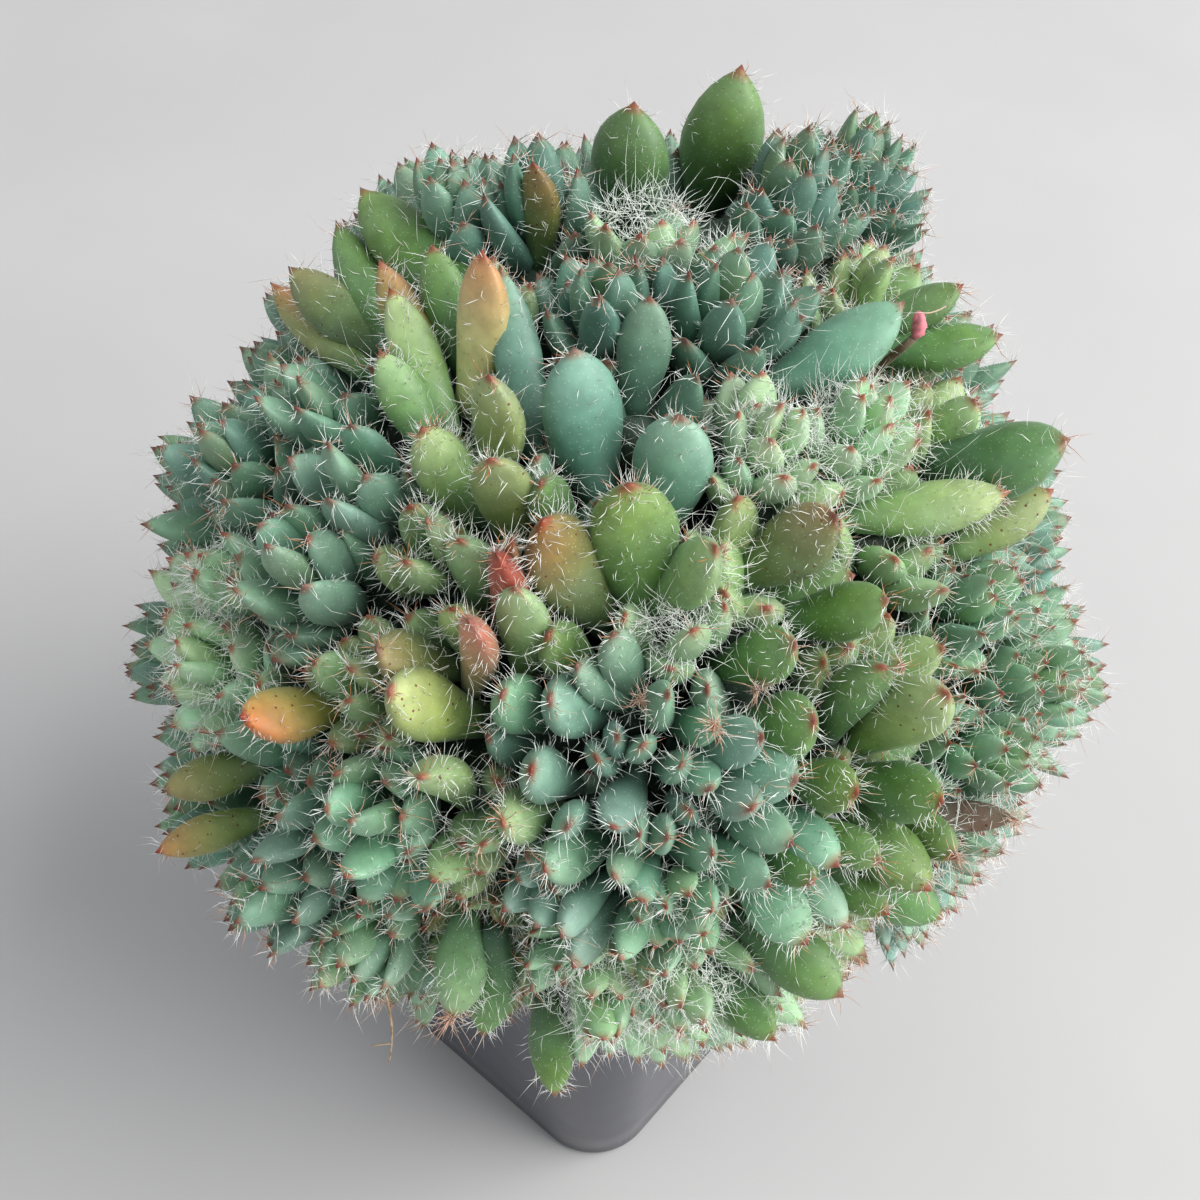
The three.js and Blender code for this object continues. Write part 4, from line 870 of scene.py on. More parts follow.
def leaf_colours(leaf, along, turn):
    """The colour of each point of a leaf."""
    root, middle, near_tip, point = (linear(colour) for colour in LOOKS[leaf["look"]])
    young = max(0.0, 1 - leaf["share"] / TONE["young_share"]) * TONE["young"]
    steps = along[..., None]
    side = np.cos(turn)[..., None]
    ripe = np.clip(steps + TONE["blush"] * (leaf["blush"] * side * steps), 0, 1)
    # From the root to the middle the leaf lightens: partly its deeper green base, partly painted shade deep
    # in the rosette.
    colour = np.where(steps < 0.5, blend(root, middle, steps / 0.5), middle)
    colour = blend(colour, near_tip, np.clip((ripe - 0.5) / 0.5, 0, 1))
    colour = blend(colour, linear(BUD_COLOUR), young * np.clip(TONE["young_along"] - steps, 0, 1))
    colour = colour * leaf["shade"]
    # Painted shade: the underside is darker.
    colour = colour * (1 - TONE["under"] * np.clip(-np.sin(turn), 0, 1)[..., None])
    # Painted shade: darker towards the two edges, to round the leaf.
    colour = colour * (1 - TONE["edge"] * side ** 2)
    red = np.clip((steps - leaf["red_from"]) / (TONE["red_full"] - leaf["red_from"]), 0, 1)
    colour = blend(colour, linear(RUST_COLOUR), TONE["rust"] * np.clip(2 * red, 0, 1))
    return blend(colour, point, np.clip(2 * red - 1, 0, 1))


def add_leaf(body, leaf, sides):
    """Adds a leaf with its pointed tip."""
    stations = len(OUTLINE["along"])
    along = np.repeat(np.array(OUTLINE["along"]), sides)
    turn = np.tile(turns(sides) - math.pi / 2, stations)
    hue = np.array((1 + random.uniform(*TONE["red"]), 1.0, 1 + random.uniform(*TONE["blue"])))
    leaf["shade"] = random.uniform(*TONE["light"]) * hue
    leaf["red_from"] = 1 - random.uniform(*TONE["red_length"]) / leaf["length"]
    leaf["blush"] = random.uniform(-1, 1) if leaf["look"] in BLUSHING else 0.0
    points, _ = leaf_section(leaf, along, turn)
    points = np.concatenate((points, leaf_centre(leaf, 1 + POINT_LENGTH)[None]))
    _, _, _, point = LOOKS[leaf["look"]]
    colours = np.concatenate((leaf_colours(leaf, along, turn), linear(point)[None] * TONE["point"]))
    body.add(points, tube_faces(stations, sides, True), colours, DOTTED.get(leaf["look"], 0.0))


def amount(options, seen):
    """What the options of a kind of hair say for a rosette that the photograph shows, or for another."""
    return options["seen" if seen else "unseen"]


def edge_hairs(leaf, seen):
    """Short hairs along the two edges of a leaf, as skin_hairs gives them."""
    count = random.poisson(2 * EDGE_HAIR["each_mm"] * leaf["length"] * amount(EDGE_HAIR, seen))
    along = random.uniform(*EDGE_HAIR["along"], count)
    turn = random.choice((0, math.pi), count) - random.uniform(*EDGE_HAIR["turn"], count)
    points, normals = leaf_section(leaf, along, turn)
    stray = random.normal(0, EDGE_HAIR["stray"], points.shape)
    directions = unit(normals + leaf["way"] * EDGE_HAIR["forward"] + stray)
    lengths = random.uniform(*EDGE_HAIR["length"], count)
    return points, directions, np.zeros(points.shape), lengths, np.zeros(count)


def skin_hairs(leaf, seen):
    """Roots, directions, bends and lengths of a leaf's hairs, and how amber each is.

    They stand all over the skin and in a star round the point.
    """
    skin = SKIN_HAIR["area"] * leaf["length"] * leaf["width"]
    spread = random.poisson(leaf["hairs"] * skin * (1.0 if seen else SKIN_HAIR["unseen"]))
    ring = random.integers(*amount(POINT_HAIR, seen))
    count = spread + ring
    on_skin = SKIN_HAIR["from"] + SKIN_HAIR["span"] * random.random(spread) ** SKIN_HAIR["crowding"]
    along = np.concatenate((on_skin, random.uniform(*POINT_HAIR["along"], ring)))
    points, normals = leaf_section(leaf, along, random.uniform(0, 2 * math.pi, count))
    forward = leaf["way"] * blend(*SKIN_HAIR["forward"], random.random(count))[:, None]
    directions = unit(normals + forward + random.normal(0, SKIN_HAIR["stray"], points.shape))
    bends = random.normal(0, SKIN_HAIR["bend"], points.shape) + leaf["way"] * SKIN_HAIR["droop"]
    on_skin = random.uniform(*SKIN_HAIR["length"], spread)
    lengths = np.concatenate((on_skin, random.uniform(*POINT_HAIR["length"], ring)))
    odds = np.where(along > POINT_HAIR["amber_from"], AMBER_SHARE[leaf["rosette"]["kind"]], 0.0)
    amber = (random.random(count) < odds) * random.uniform(*POINT_HAIR["amber"], count)
    return points, directions, bends, lengths, amber


def crown_hairs(rosette):
    """The tangle of long hairs over the middle of a rosette."""
    count = CROWN_HAIRS[rosette["kind"]]
    axis = rosette["facing"]
    out = around(*across(axis), random.uniform(0, 2 * math.pi, count))
    radius = CROWN_HAIR["reach"] * rosette["room"] * np.sqrt(random.random(count))
    height = blend(*CROWN_HAIR["height"], radius / rosette["room"])
    points = rosette["crown"] + out * radius[:, None] + axis * height[:, None]
    stray = random.normal(0, CROWN_HAIR["stray"], points.shape)
    directions = unit(axis * CROWN_HAIR["up"] + out * CROWN_HAIR["out"] + stray)
    bends = random.normal(0, CROWN_HAIR["bend"], points.shape)
    return points, directions, bends, random.uniform(*CROWN_HAIR["length"], count), np.zeros(count)


def tangle_hairs(place, out):
    """Curled brown hairs round a withered leaf tip."""
    count = TANGLE["hairs"]
    points = place + random.normal(0, TANGLE["spread"], (count, 3))
    directions = unit(out * TANGLE["out"] + random.normal(0, TANGLE["stray"], (count, 3)))
    bends = random.normal(0, TANGLE["bend"], (count, 3))
    lengths = random.uniform(*TANGLE["length"], count)
    return points, directions, bends, lengths, random.uniform(*TANGLE["amber"], count)


def add_hairs(body, hairs, thickness, bends_in):
    """Adds hairs as thin three-sided spikes, which curl when there are stations to bend at."""
    points, directions, bends, lengths, amber = hairs
    if not len(points):
        return
    helper = np.where(np.abs(directions[:, 2:]) > NEARLY_ALONG, EAST, UP)
    x = unit(np.cross(helper, directions))
    y = np.cross(directions, x)
    rings = []
    stations = ((-HAIR_ROOT, 1.0), *((share, 1 - HAIR_TAPER * share) for share in bends_in))
    curl = np.cross(directions, bends) * random.uniform(-HAIR_CURL, HAIR_CURL, (len(points), 1))
    for along, radius in stations:
        share = max(along, 0)
        drift = bends * share ** 2 + curl * share * (1 - share)
        centre = points + (directions * along + drift) * lengths[:, None]
        for k in range(3):
            turn = 2 * math.pi * k / 3
            rings.append(centre + (x * math.cos(turn) + y * math.sin(turn)) * thickness / 2 * radius)
    rings.append(points + (directions + bends) * lengths[:, None])
    stacked = np.stack(rings, axis=1)
    count, each, _ = stacked.shape
    pattern = tube_faces(len(stations), 3, True)
    faces = (pattern[None] + (np.arange(count) * each)[:, None, None]).reshape(-1, 3)
    colours = blend(linear(HAIR_WHITE), linear(HAIR_AMBER), amber[:, None])
    body.add(stacked.reshape(-1, 3), faces, np.repeat(colours, each, axis=0))


def add_core(body, rosette):
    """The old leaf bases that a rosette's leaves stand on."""
    sides = CORE["sides"]
    axis = rosette["axis"]
    out = around(*across(axis), turns(sides))
    rings = []
    colours = []
    for depth, share in zip(CORE["depths"], CORE["shares"]):
        radius = rosette["room"] * share * random.uniform(*CORE["rough"], sides)
        rings.append(rosette["crown"] - axis * depth + out * radius[:, None])
        # Brown scars deep down, going over to the painted shade colour towards the crown.
        fresh = min(1, (CORE["depths"][0] - depth) / CORE["fade"])
        tone = blend(linear(SCAR_COLOUR), linear(CORE_SHADE_COLOUR), fresh)
        colours.append(tone * random.uniform(*CORE["tones"], (sides, 1)))
    rings.append((rosette["crown"] - axis * CORE["top"])[None])
    colours.append(linear(CORE_SHADE_COLOUR)[None])
    body.add(np.concatenate(rings), tube_faces(len(CORE["depths"]), sides, True), np.concatenate(colours))


def shader(name, roughness):
    """A new material with its node tree and its shader."""
    material = bpy.data.materials.new(name)
    material.use_nodes = True
    tree = material.node_tree
    principled = tree.nodes["Principled BSDF"]
    principled.inputs["Roughness"].default_value = roughness
    return material, tree, principled


def stored(tree, name, output):
    """A socket with what the mesh stores at its points under a name."""
    node = tree.nodes.new("ShaderNodeAttribute")
    node.attribute_name = name
    return node.outputs[output]


def leaf_material():
    """Fleshy skin with patches of pale bloom, fine speckles, and small dots on the old leaves."""
    material, tree, principled = shader("leaf_skin", roughness=0.46)
    mottle, height = noise_between(tree, scale=520, low=0.84, high=1.12, detail=5.0)
    toned = scaled_colour(tree, stored(tree, "tint", "Color"), mottle)
    patch, _ = noise_between(tree, scale=170, low=0.0, high=0.14, detail=3.0)
    bloomed = mixed_colour(tree, patch, toned, BLOOM_COLOUR)
    speckle = spots_between(tree, scale=2300, rim=0.2, core=0.12, most=0.35)
    speckled = mixed_colour(tree, speckle, bloomed, SPECKLE_COLOUR)
    dot = spots_between(tree, scale=900, rim=0.16, core=0.09, most=0.9)
    dotted = tree.nodes.new("ShaderNodeMath")
    dotted.operation = "MULTIPLY"
    tree.links.new(dot, dotted.inputs[0])
    tree.links.new(stored(tree, "mark", "Fac"), dotted.inputs[1])
    skin = mixed_colour(tree, dotted.outputs[0], speckled, DOT_COLOUR)
    tree.links.new(skin, principled.inputs["Base Color"])
    add_bump(tree, principled, height, strength=0.16, distance=0.0002)
    principled.inputs["Sheen Weight"].default_value = 0.2
    principled.inputs["Sheen Roughness"].default_value = 0.45
    principled.inputs["Sheen Tint"].default_value = (0.8, 0.95, 0.88, 1)
    return material


def hair_material():
    """Stiff glassy white hairs, with a faint painted glow that keeps them light in shade."""
    material, tree, principled = shader("leaf_hair", roughness=0.4)
    tint = stored(tree, "tint", "Color")
    tree.links.new(tint, principled.inputs["Base Color"])
    # A faint glow in the hair's own colour: painted light, no lamp.
    tree.links.new(tint, principled.inputs["Emission Color"])
    principled.inputs["Emission Strength"].default_value = 0.05
    return material


def texture(tree, kind, scale):
    """A texture on the object's own coordinates."""
    place = tree.nodes.new("ShaderNodeTexCoord")
    node = tree.nodes.new(kind)
    node.inputs["Scale"].default_value = scale
    tree.links.new(place.outputs["Object"], node.inputs["Vector"])
    return node


def mapped(tree, value, start, end, low, high):
    """A socket's value with start and end mapped to low and high."""
    spread = tree.nodes.new("ShaderNodeMapRange")
    for name, bound in (("From Min", start), ("From Max", end), ("To Min", low), ("To Max", high)):
        spread.inputs[name].default_value = bound
    tree.links.new(value, spread.inputs["Value"])
    return spread.outputs["Result"]


def noise_between(tree, scale, low, high, detail=4.0):
    """A noise spread between two values, and the noise itself."""
    noise = texture(tree, "ShaderNodeTexNoise", scale)
    noise.inputs["Detail"].default_value = detail
    return mapped(tree, noise.outputs["Fac"], *NOISE_SPAN, low, high), noise.outputs["Fac"]


def scaled_colour(tree, colour, factor):
    """A colour, given or from a socket, times a factor."""
    scale = tree.nodes.new("ShaderNodeVectorMath")
    scale.operation = "SCALE"
    if isinstance(colour, tuple):
        scale.inputs[0].default_value = linear(colour)
    else:
        tree.links.new(colour, scale.inputs[0])
    tree.links.new(factor, scale.inputs["Scale"])
    return scale.outputs["Vector"]


def mixed_colour(tree, factor, low, high):
    """A colour from a socket, mixed towards a given colour by a factor."""
    mix = tree.nodes.new("ShaderNodeMix")
    mix.data_type = "RGBA"
    tree.links.new(factor, mix.inputs["Factor"])
    tree.links.new(low, mix.inputs["A"])
    mix.inputs["B"].default_value = (*linear(high), 1)
    return mix.outputs["Result"]


def spots_between(tree, scale, rim, core, most):
    """Round spots scattered over the object: nothing beyond the rim and the most within the core."""
    cells = texture(tree, "ShaderNodeTexVoronoi", scale)
    return mapped(tree, cells.outputs["Distance"], rim, core, 0.0, most)


def add_bump(tree, principled, height, strength, distance):
    """A fine relief from a height socket."""
    bump = tree.nodes.new("ShaderNodeBump")
    bump.inputs["Strength"].default_value = strength
    bump.inputs["Distance"].default_value = distance
    tree.links.new(height, bump.inputs["Height"])
    tree.links.new(bump.outputs["Normal"], principled.inputs["Normal"])


def tinted_material(name, roughness, scale, relief):
    """A material that takes its colour from the mesh, with a mottling and a fine relief."""
    material, tree, principled = shader(name, roughness)
    tone, height = noise_between(tree, scale, low=0.6, high=1.3)
    coloured = scaled_colour(tree, stored(tree, "tint", "Color"), tone)
    tree.links.new(coloured, principled.inputs["Base Color"])
    add_bump(tree, principled, height, strength=0.5, distance=relief)
    return material


def grit_material():
    """Dull bark, grit and grains of the potting mix."""
    return tinted_material("mix_grit", roughness=0.95, scale=1400, relief=0.0003)


def bark_material():
    """Rough grey-brown bark."""
    return tinted_material("bark", roughness=0.9, scale=900, relief=0.0004)


def plastic_material():
    """Satin dark grey plastic with a fine grain and a little dust."""
    material, tree, principled = shader("pot_plastic", roughness=0.3)
    dust, _ = noise_between(tree, scale=40, low=0.94, high=1.06)
    tree.links.new(scaled_colour(tree, POT_COLOUR, dust), principled.inputs["Base Color"])
    rough, _ = noise_between(tree, scale=160, low=0.15, high=0.2, detail=5.0)
    tree.links.new(rough, principled.inputs["Roughness"])
    principled.inputs["Specular IOR Level"].default_value = 0.22
    _, grain = noise_between(tree, scale=2600, low=0, high=1, detail=2.0)
    add_bump(tree, principled, grain, strength=0.12, distance=0.00005)
    return material


def floor_material():
    """A pale plain floor with a faint unevenness."""
    material, tree, principled = shader("floor", roughness=0.85)
    tone, _ = noise_between(tree, scale=14, low=0.975, high=1.02, detail=5.0)
    tree.links.new(scaled_colour(tree, FLOOR_COLOUR, tone), principled.inputs["Base Color"])
    return material


def dress_plant():
    """Makes the stem, the leaves and the hairs of every shoot, and the withered parts."""
    rosettes = place_rosettes()
    make_stems(rosettes)
    for rosette in rosettes:
        find_walls(rosette, rosettes)
        rosette["look"] = LOOK_OF_SHOOT.get(rosette["shoot"], LOOK_OF_KIND[rosette["kind"]])
    standing = standing_leaves(rosettes)
    view = note_view(standing)
    for rosette in rosettes:
        rosette["leaves"] = spiral_leaves(rosette, standing, view)
    spirals = [leaf for rosette in rosettes for leaf in rosette["leaves"]]
    others = standing + fill_leaves(rosettes, standing + spirals, view)
    skin = leaf_material()
    hair = hair_material()
    for shoot in dict.fromkeys(rosette["shoot"] for rosette in rosettes):
        mates = [rosette for rosette in rosettes if rosette["shoot"] == shoot]
        make_shoot(shoot, mates, others, skin, hair)
    make_withered_tips(hair)
    make_flower_stub(skin)
    make_hanging_root()


def make_shoot(shoot, mates, others, skin, hair):
    """The leaves and the hairs of the rosettes of one shoot."""
    leaves = Body()
    hairs = Body()
    if len(mates) > 1:
        add_fork(leaves, mates)
    for rosette in mates:
        seen = rosette["seen"]
        bends_in = SKIN_HAIR["bends_in"] if seen else ()
        add_core(leaves, rosette)
        for leaf in rosette["leaves"] + [leaf for leaf in others if leaf["rosette"] is rosette]:
            add_leaf(leaves, leaf, SIDES["standing" if leaf["stands"] else "seen" if seen else "unseen"])
            add_hairs(hairs, skin_hairs(leaf, seen), SKIN_HAIR["thickness"], bends_in)
            add_hairs(hairs, edge_hairs(leaf, seen), EDGE_HAIR["thickness"], ())
        add_hairs(hairs, crown_hairs(rosette), CROWN_HAIR["thickness"], CROWN_HAIR["bends_in"])
    piece = leaves.build("leaves_" + shoot, skin)
    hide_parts("rosette_" + shoot)
    tuft = hairs.build("hairs_" + shoot, hair)


def add_fork(body, mates):
    """The short limbs that join the rosettes of one shoot."""
    fork = fork_of(mates)
    for rosette in mates:
        end = rosette["crown"] - rosette["axis"] * FORK["inset"]
        middle = (fork + end) / 2 + random.normal(0, FORK["sag"], 3)
        path = curve_through((fork, middle, end), FORK["steps"])
        radii = np.linspace(STEM["end"], STEM["fork_end"], FORK["steps"])
        add_limb(body, path, radii, STEM["branch_sides"], BARK_COLOUR)


def make_withered_tips(hair):
    """The tangles of brown hairs round withered leaf tips."""
    tangles = Body()
    for pixel, height in WITHERED:
        place = on_mound(pixel, height)
        tangle = tangle_hairs(place, unit(place - HEART))
        add_hairs(tangles, tangle, CROWN_HAIR["thickness"], CROWN_HAIR["bends_in"])
    piece = tangles.build("withered_tips", hair)


def make_flower_stub(skin):
    """The stub of a flower stalk and the thread that hangs from its end."""
    stub = Body()
    low, high = (on_mound(STUB[end], height) for end, height in zip(("from", "to"), STUB["heights"]))
    path = curve_through((low, (low + high) / 2 + EAST * STUB["bow"], high), len(STUB["swell"]))
    add_limb(stub, path, STUB["radius"] * np.array(STUB["swell"]), STUB["sides"], STUB["colour"])
    foot = low - unit(low - HEART) * STUB["foot"]
    add_limb(stub, np.linspace(foot, low, 5), np.full(5, STUB["foot_radius"]), 8, BARK_COLOUR)
    end = on_mound(STUB["thread"], STUB["heights"][1])
    thread = curve_through((high, (high + end) / 2 - UP * STUB["thread_sag"], end), 7)
    add_limb(stub, thread, np.full(7, STUB["thread_radius"]), 5, ROOT["colour"])
    piece = stub.build("flower_stub", skin)


def make_hanging_root():
    """The thin root that hangs from the lowest leaves, with its twig."""
    root = Body()
    start = on_mound(ROOT["from"], ROOT["height"])
    end = start - UP * ROOT["fall"] + EAST * ROOT["drift"]
    path = curve_through((start, (start + end) / 2 + EAST * ROOT["bow"], end), 11)
    add_limb(root, path, np.linspace(*ROOT["taper"], 11) * ROOT["radius"], 6, ROOT["colour"])
    branching = path[ROOT["twig_at"]]
    twig = branching + EAST * ROOT["twig"][0] - UP * ROOT["twig"][1]
    twig_radii = np.full(4, ROOT["twig_share"] * ROOT["radius"])
    add_limb(root, np.linspace(branching, twig, 4), twig_radii, 5, ROOT["colour"])
    inner = start - unit(start - HEART) * ROOT["inner"]
    inner_radii = np.full(4, ROOT["taper"][0] * ROOT["radius"])
    add_limb(root, np.linspace(inner, start, 4), inner_radii, 6, ROOT["colour"])
    piece = root.build("hanging_root", bark_material())


def make_camera():
    """The camera at the photograph's viewpoint."""
    eye, right, up, forward = eye_frame()
    data = bpy.data.cameras.new("camera")
    data.sensor_width = SENSOR
    data.lens = SENSOR * EYE["focal"] / FRAME_PIXELS
    data.clip_start = 0.01
    camera = placed("camera", data)
    columns = turned(np.array((right, up, -forward))) / MILLIMETRE
    matrix = Matrix.Identity(4)
    for k in range(3):
        for j in range(3):
            matrix[j][k] = columns[k][j]
        matrix[k][3] = turned(eye)[k]
    camera.matrix_world = matrix
    bpy.context.scene.camera = camera


def make_stage():
    """The pale floor, the soft light and the tone of the picture."""
    corners = [(x * FLOOR_HALF, y * FLOOR_HALF, 0) for x, y in ((-1, -1), (1, -1), (1, 1), (-1, 1))]
    mesh = bpy.data.meshes.new("floor")
    mesh.from_pydata(corners, [], [(0, 1, 2, 3)])
    mesh.materials.append(floor_material())
    floor = placed("floor", mesh)
    world = bpy.data.worlds.new("world")
    world.use_nodes = True
    background = world.node_tree.nodes["Background"]
    background.inputs["Color"].default_value = WORLD["colour"]
    background.inputs["Strength"].default_value = WORLD["strength"]
    scene = bpy.context.scene
    scene.world = world
    for name, lamp in LIGHTS.items():
        data = bpy.data.lights.new(name, "AREA")
        data.size = lamp["size"]
        data.energy = lamp["power"]
        light = placed(name, data)
        light.location = turned(np.array(lamp["at"]))
        aim = turned(HEART) - turned(np.array(lamp["at"]))
        light.rotation_mode = "QUATERNION"
        light.rotation_quaternion = Vector(aim).to_track_quat("-Z", "Y")
    scene.view_settings.view_transform = "Standard"
    scene.view_settings.look = "Medium High Contrast"


def square_ring(side, height, radius):
    """Points round a rounded square of the given side, at a height."""
    inset = side / 2 - radius
    ring = []
    for corner, (x, y) in enumerate(CORNERS):
        for step in range(POT["corner_steps"] + 1):
            turn = math.radians(90 * (corner + step / POT["corner_steps"]))
            ring.append((x * inset + radius * math.cos(turn), y * inset + radius * math.sin(turn), height))
    return np.array(ring)


def pot_side(height):
    """The outer side of the pot's square at a height, without the rim's band."""
    return blend(POT["base"], POT["rim"], height / POT["height"])


def pot_rings():
    """The pot's outline from the edge of its bottom, up and over the rim, and down to the floor inside."""
    top = POT["height"]
    corner = POT["corner"]
    rings = [square_ring(POT["base"] - less, height, corner) for less, height in POT_FOOT]
    for height in np.linspace(POT["foot_height"], top - POT["lip_height"], POT["wall_rings"]):
        rings.append(square_ring(pot_side(height), height, corner))
    for less, tighter, depth in POT_LIP:
        side = POT["rim"] + 2 * POT["lip_out"] - less
        rings.append(square_ring(side, top - depth, corner + POT["lip_out"] - tighter))
    inside = [(top - depth, out) for depth, out in POT_INSIDE["top"]]
    straight = np.linspace(inside[-1][0], POT["floor"] + POT["fillet"], POT["inside_rings"])
    inside += [(height, 0) for height in straight[1:]]
    inside += [(POT["floor"] + height, out) for height, out in POT_INSIDE["floor"]]
    for height, out in inside:
        side = pot_side(height) - 2 * POT["wall"] + out
        rings.append(square_ring(side, height, corner - POT["wall"] + out / 2))
    return rings


def pierced_floor(outline, holes, facing_up):
    """Triangles of a flat floor with holes, as indices into the outline and then the holes."""
    loops = [[Vector((x, y, 0)) for x, y, _ in loop] for loop in (outline, *holes)]
    places = np.concatenate([outline, *holes])
    faces = []
    for a, b, c in tessellate_polygon(loops):
        turn = np.cross(places[b] - places[a], places[c] - places[a])[2]
        faces.append((a, b, c) if (turn > 0) == facing_up else (a, c, b))
    return faces


def hole_rings(height):
    """The edges of the four drainage holes at a height."""
    turn = turns(POT["hole_sides"])
    circle = np.stack((np.cos(turn), np.sin(turn)), axis=1) * POT["hole_radius"]
    holes = []
    for x, y in CORNERS:
        ring = np.full((POT["hole_sides"], 3), float(height))
        ring[:, :2] = circle + np.array((x, y)) * POT["hole_at"]
        holes.append(ring)
    return holes


def make_pot():
    """The pot with rounded corners, a rolled rim and drainage holes, in satin plastic."""
    rings = pot_rings()
    each = len(rings[0])
    sides = POT["hole_sides"]
    under, inside = hole_rings(0), hole_rings(POT["floor"])
    around_holes = len(under) * sides
    points = np.concatenate(rings + under + inside)
    faces = band_faces(len(rings), each)
    first_hole = len(rings) * each
    last_ring = first_hole - each
    for outline, start, holes, hole_start, facing_up in (
        (rings[0], 0, under, first_hole, False),
        (rings[-1], last_ring, inside, first_hole + around_holes, True),
    ):
        place = np.concatenate((np.arange(each) + start, np.arange(around_holes) + hole_start))
        faces += [tuple(place[list(face)]) for face in pierced_floor(outline, holes, facing_up)]
    for hole in range(len(under)):
        for i in range(sides):
            a = first_hole + hole * sides + i
            b = first_hole + hole * sides + (i + 1) % sides
            faces += [(a, b + around_holes, b), (a, a + around_holes, b + around_holes)]
    body = Body()
    body.add(points, np.array(faces), np.zeros(3))
    piece = body.build("pot_shell", plastic_material(), laid_out=False)
    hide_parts("pot")


def make_mix():
    """The mix with a rough top and a hole for the stem, and the grains that lie on it."""
    gap = POT["wall"] + SOIL["gap"]
    radius = POT["corner"] - gap
    foot = POT["floor"] + SOIL["gap"]
    side = pot_side(SOIL["top"]) - 2 * gap
    rings = [
        square_ring(pot_side(foot) - 2 * gap - SOIL["foot_in"], foot, radius),
        square_ring(side, SOIL["top"] - SOIL["edge"], radius),
    ]
    outline = rings[1]
    each = len(outline)
    turn = np.arctan2(outline[:, 1], outline[:, 0])
    hole = np.stack((np.cos(turn) * SOIL["hole"], np.sin(turn) * SOIL["hole"]), axis=1)
    rim = outline[:, :2] - SOIL["rim_in"] * np.sign(outline[:, :2])
    for k in range(SOIL["rings"] + 1):
        share = k / SOIL["rings"]
        ring = outline.copy()
        ring[:, :2] = blend(rim, hole, share)
        wave = np.sin(ring[:, 0] * SOIL["waves"][0] + SOIL["drift"] * k)
        wave = wave * np.cos(ring[:, 1] * SOIL["waves"][1] - SOIL["drift"] * k)
        calm = min(1, SOIL["fade"][0] * (1 - share)), min(1, SOIL["fade"][1] * share)
        ring[:, 2] = SOIL["top"] + SOIL["lump"] * wave * calm[0] * calm[1]
        ring[:, 2] += random.uniform(-1, 1, each) * SOIL["rough"]
        rings.append(ring)
    floor = rings[-1].copy()
    floor[:, 2] = SOIL["top"] - SOIL["hole_depth"]
    rings.append(floor)
    tone = linear(SOIL["colour"])
    colours = np.concatenate([tone * random.uniform(*SOIL["tones"], (each, 1)) for _ in rings])
    body = Body()
    body.add(np.concatenate(rings), tube_faces(len(rings), each, False), colours)
    piece = body.build("mix", grit_material(), smooth=False, laid_out=False)
    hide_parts("potting_mix")
    make_grains(side / 2 - GRAINS["margin"])


def make_grains(half):
    """Loose grains of bark and grit on a square of the mix, clear of the stem."""
    grains = Body()
    for _ in range(GRAINS["count"]):
        x, y = random.uniform(-half, half, 2)
        if math.hypot(x, y) < SOIL["hole"] + GRAINS["clear"]:
            continue
        size = random.uniform(*GRAINS["size"])
        size = size * np.array((1, random.uniform(*GRAINS["wide"]), random.uniform(*GRAINS["thick"])))
        tone = linear(GRAINS["colours"][random.choice(len(GRAINS["colours"]), p=GRAINS["odds"])])
        add_grain(grains, np.array((x, y, SOIL["top"] + random.uniform(*GRAINS["height"]))), size, tone)
    piece = grains.build("mix_grains", grit_material(), smooth=False, laid_out=False)


def add_grain(body, place, size, tone):
    """Adds a small irregular lump."""
    sides = GRAINS["sides"]
    turn = turns(sides)
    rings = []
    for height, radius in GRAINS["rings"]:
        wobble = random.uniform(*GRAINS["wobble"], sides)
        x = np.cos(turn) * radius * wobble
        y = np.sin(turn) * radius * wobble
        rings.append(np.stack((x, y, np.full(sides, height)), axis=1))
    rings.append(np.array(((0, 0, random.uniform(*GRAINS["top"])),)))
    points = np.concatenate(rings) * size
    way = unit(random.normal(size=3))
    side = unit(np.cross(way, UP))
    basis = np.array((side, np.cross(way, side), way)) if random.random() < GRAINS["turned"] else np.eye(3)
    faces = tube_faces(len(GRAINS["rings"]), sides, True)
    body.add(place + points @ basis, faces, tone * random.uniform(*GRAINS["light"]))


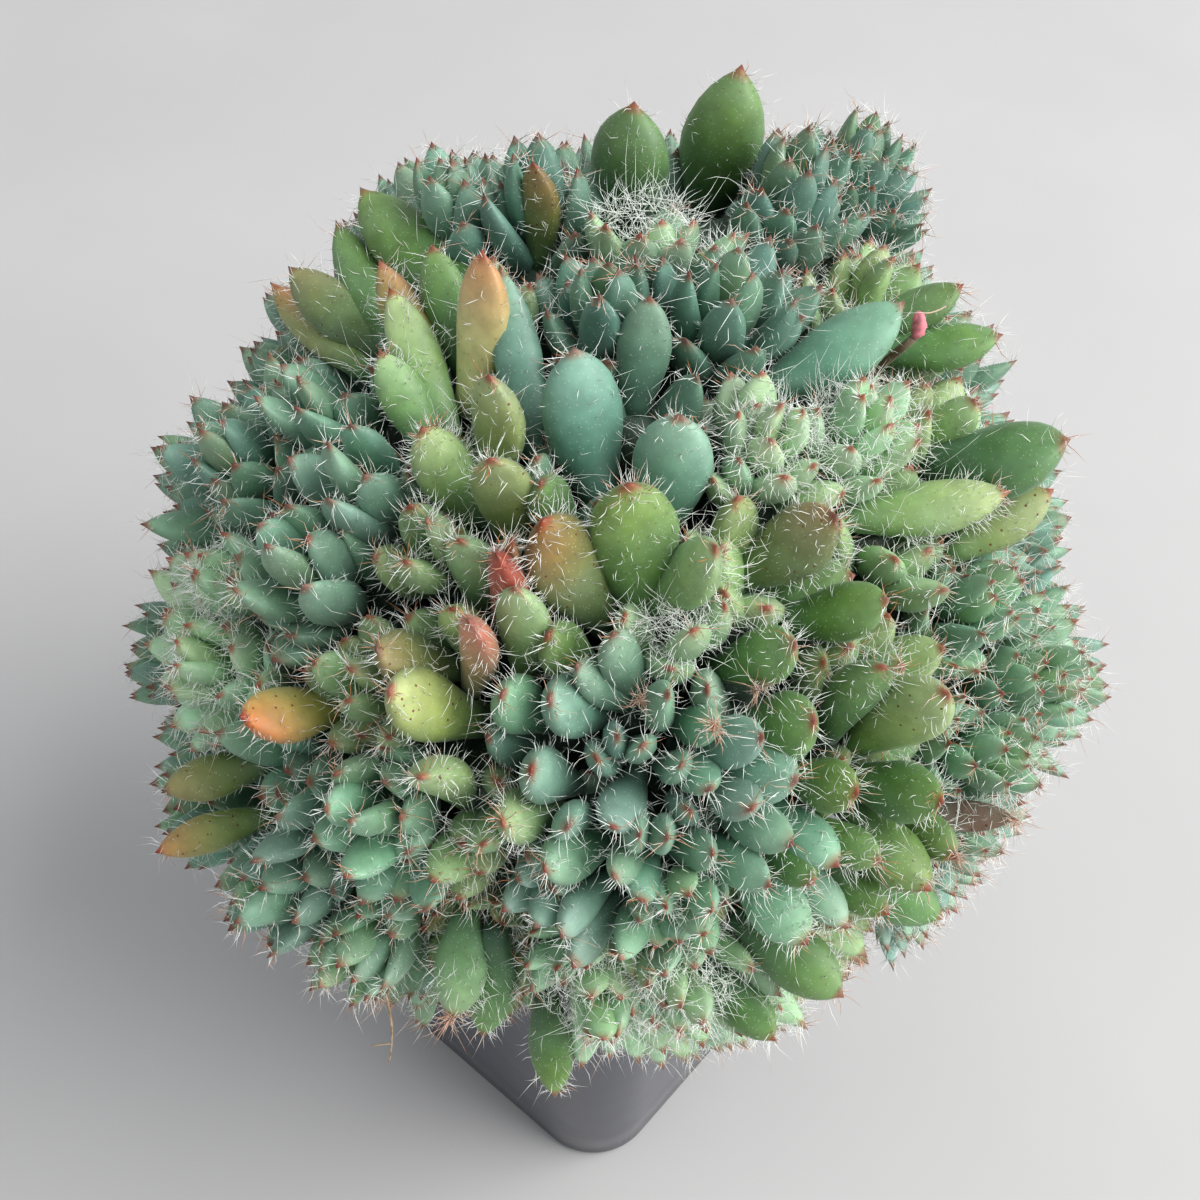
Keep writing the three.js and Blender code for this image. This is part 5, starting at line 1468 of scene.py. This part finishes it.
def add_limb(body, path, radii, sides, tone):
    """Adds a rough round limb along a path, with flat ends."""
    path = np.array(path)
    ways = unit(np.gradient(path, axis=0))
    rings = []
    colours = []
    helper = EAST if abs(ways[0] @ EAST) < NEARLY_ALONG else UP
    for place, way, radius in zip(path, ways, radii):
        x = unit(np.cross(way, helper))
        rough = radius * random.uniform(*LIMB["rough"], sides)
        rings.append(place + around(x, np.cross(way, x), turns(sides)) * rough[:, None])
        colours.append(linear(tone) * random.uniform(*LIMB["tones"], (sides, 1)))
    body.add(np.concatenate(rings), tube_faces(len(path), sides, False), np.concatenate(colours))


def fork_of(own):
    """The place from which a shoot's rosettes branch, on the way from the heart."""
    foot = np.mean([rosette["crown"] for rosette in own], axis=0)
    depth = FORK_DEPTH if len(own) > 1 else CORE_DEPTH
    return foot - unit(foot - HEART) * depth


def curve_through(points, steps):
    """A smooth path through three places."""
    start, middle, end = (np.array(point, float) for point in points)
    share = np.linspace(0, 1, steps)[:, None]
    bend = 2 * middle - (start + end) / 2
    return start * (1 - share) ** 2 + bend * 2 * share * (1 - share) + end * share ** 2


def make_stems(rosettes):
    """The stem with its knot and the branches to the shoots."""
    body = Body()
    foot = np.array((0, 0, SOIL["top"] - SOIL["hole_depth"] + SOIL["gap"]))
    low = np.array((0, 0, SOIL["top"] + STEM["bends"][0]))
    middle = np.array((HEART[0] / 2, HEART[1] / 2, SOIL["top"] + STEM["bends"][1]))
    path = np.concatenate((np.linspace(foot, low, 8)[:-1], curve_through((low, middle, HEART), 10)))
    radii = np.linspace(*(STEM["radius"] * share for share in STEM["taper"]), len(path))
    add_limb(body, path, radii, STEM["sides"], BARK_COLOUR)
    tilts = np.radians(np.linspace(*STEM["knot_tilts"]))[::-1]
    knot = [HEART + UP * STEM["knot"] * math.cos(tilt) for tilt in tilts]
    add_limb(body, knot, STEM["knot"] * np.sin(tilts), STEM["knot_sides"], BARK_COLOUR)
    steps = STEM["branch_steps"]
    for shoot in dict.fromkeys(rosette["shoot"] for rosette in rosettes):
        end = fork_of([rosette for rosette in rosettes if rosette["shoot"] == shoot])
        start = HEART + unit(end - HEART) * STEM["start"] * STEM["knot"]
        sag = (start + end) / 2 + random.normal(0, STEM["sag"], 3)
        radii = np.linspace(STEM["foot"], STEM["end"], steps)
        add_limb(body, curve_through((start, sag, end), steps), radii, STEM["branch_sides"], BARK_COLOUR)
    piece = body.build("bark", bark_material())
    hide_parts("stems")


make_camera()
make_stage()
make_pot()
make_mix()
dress_plant()
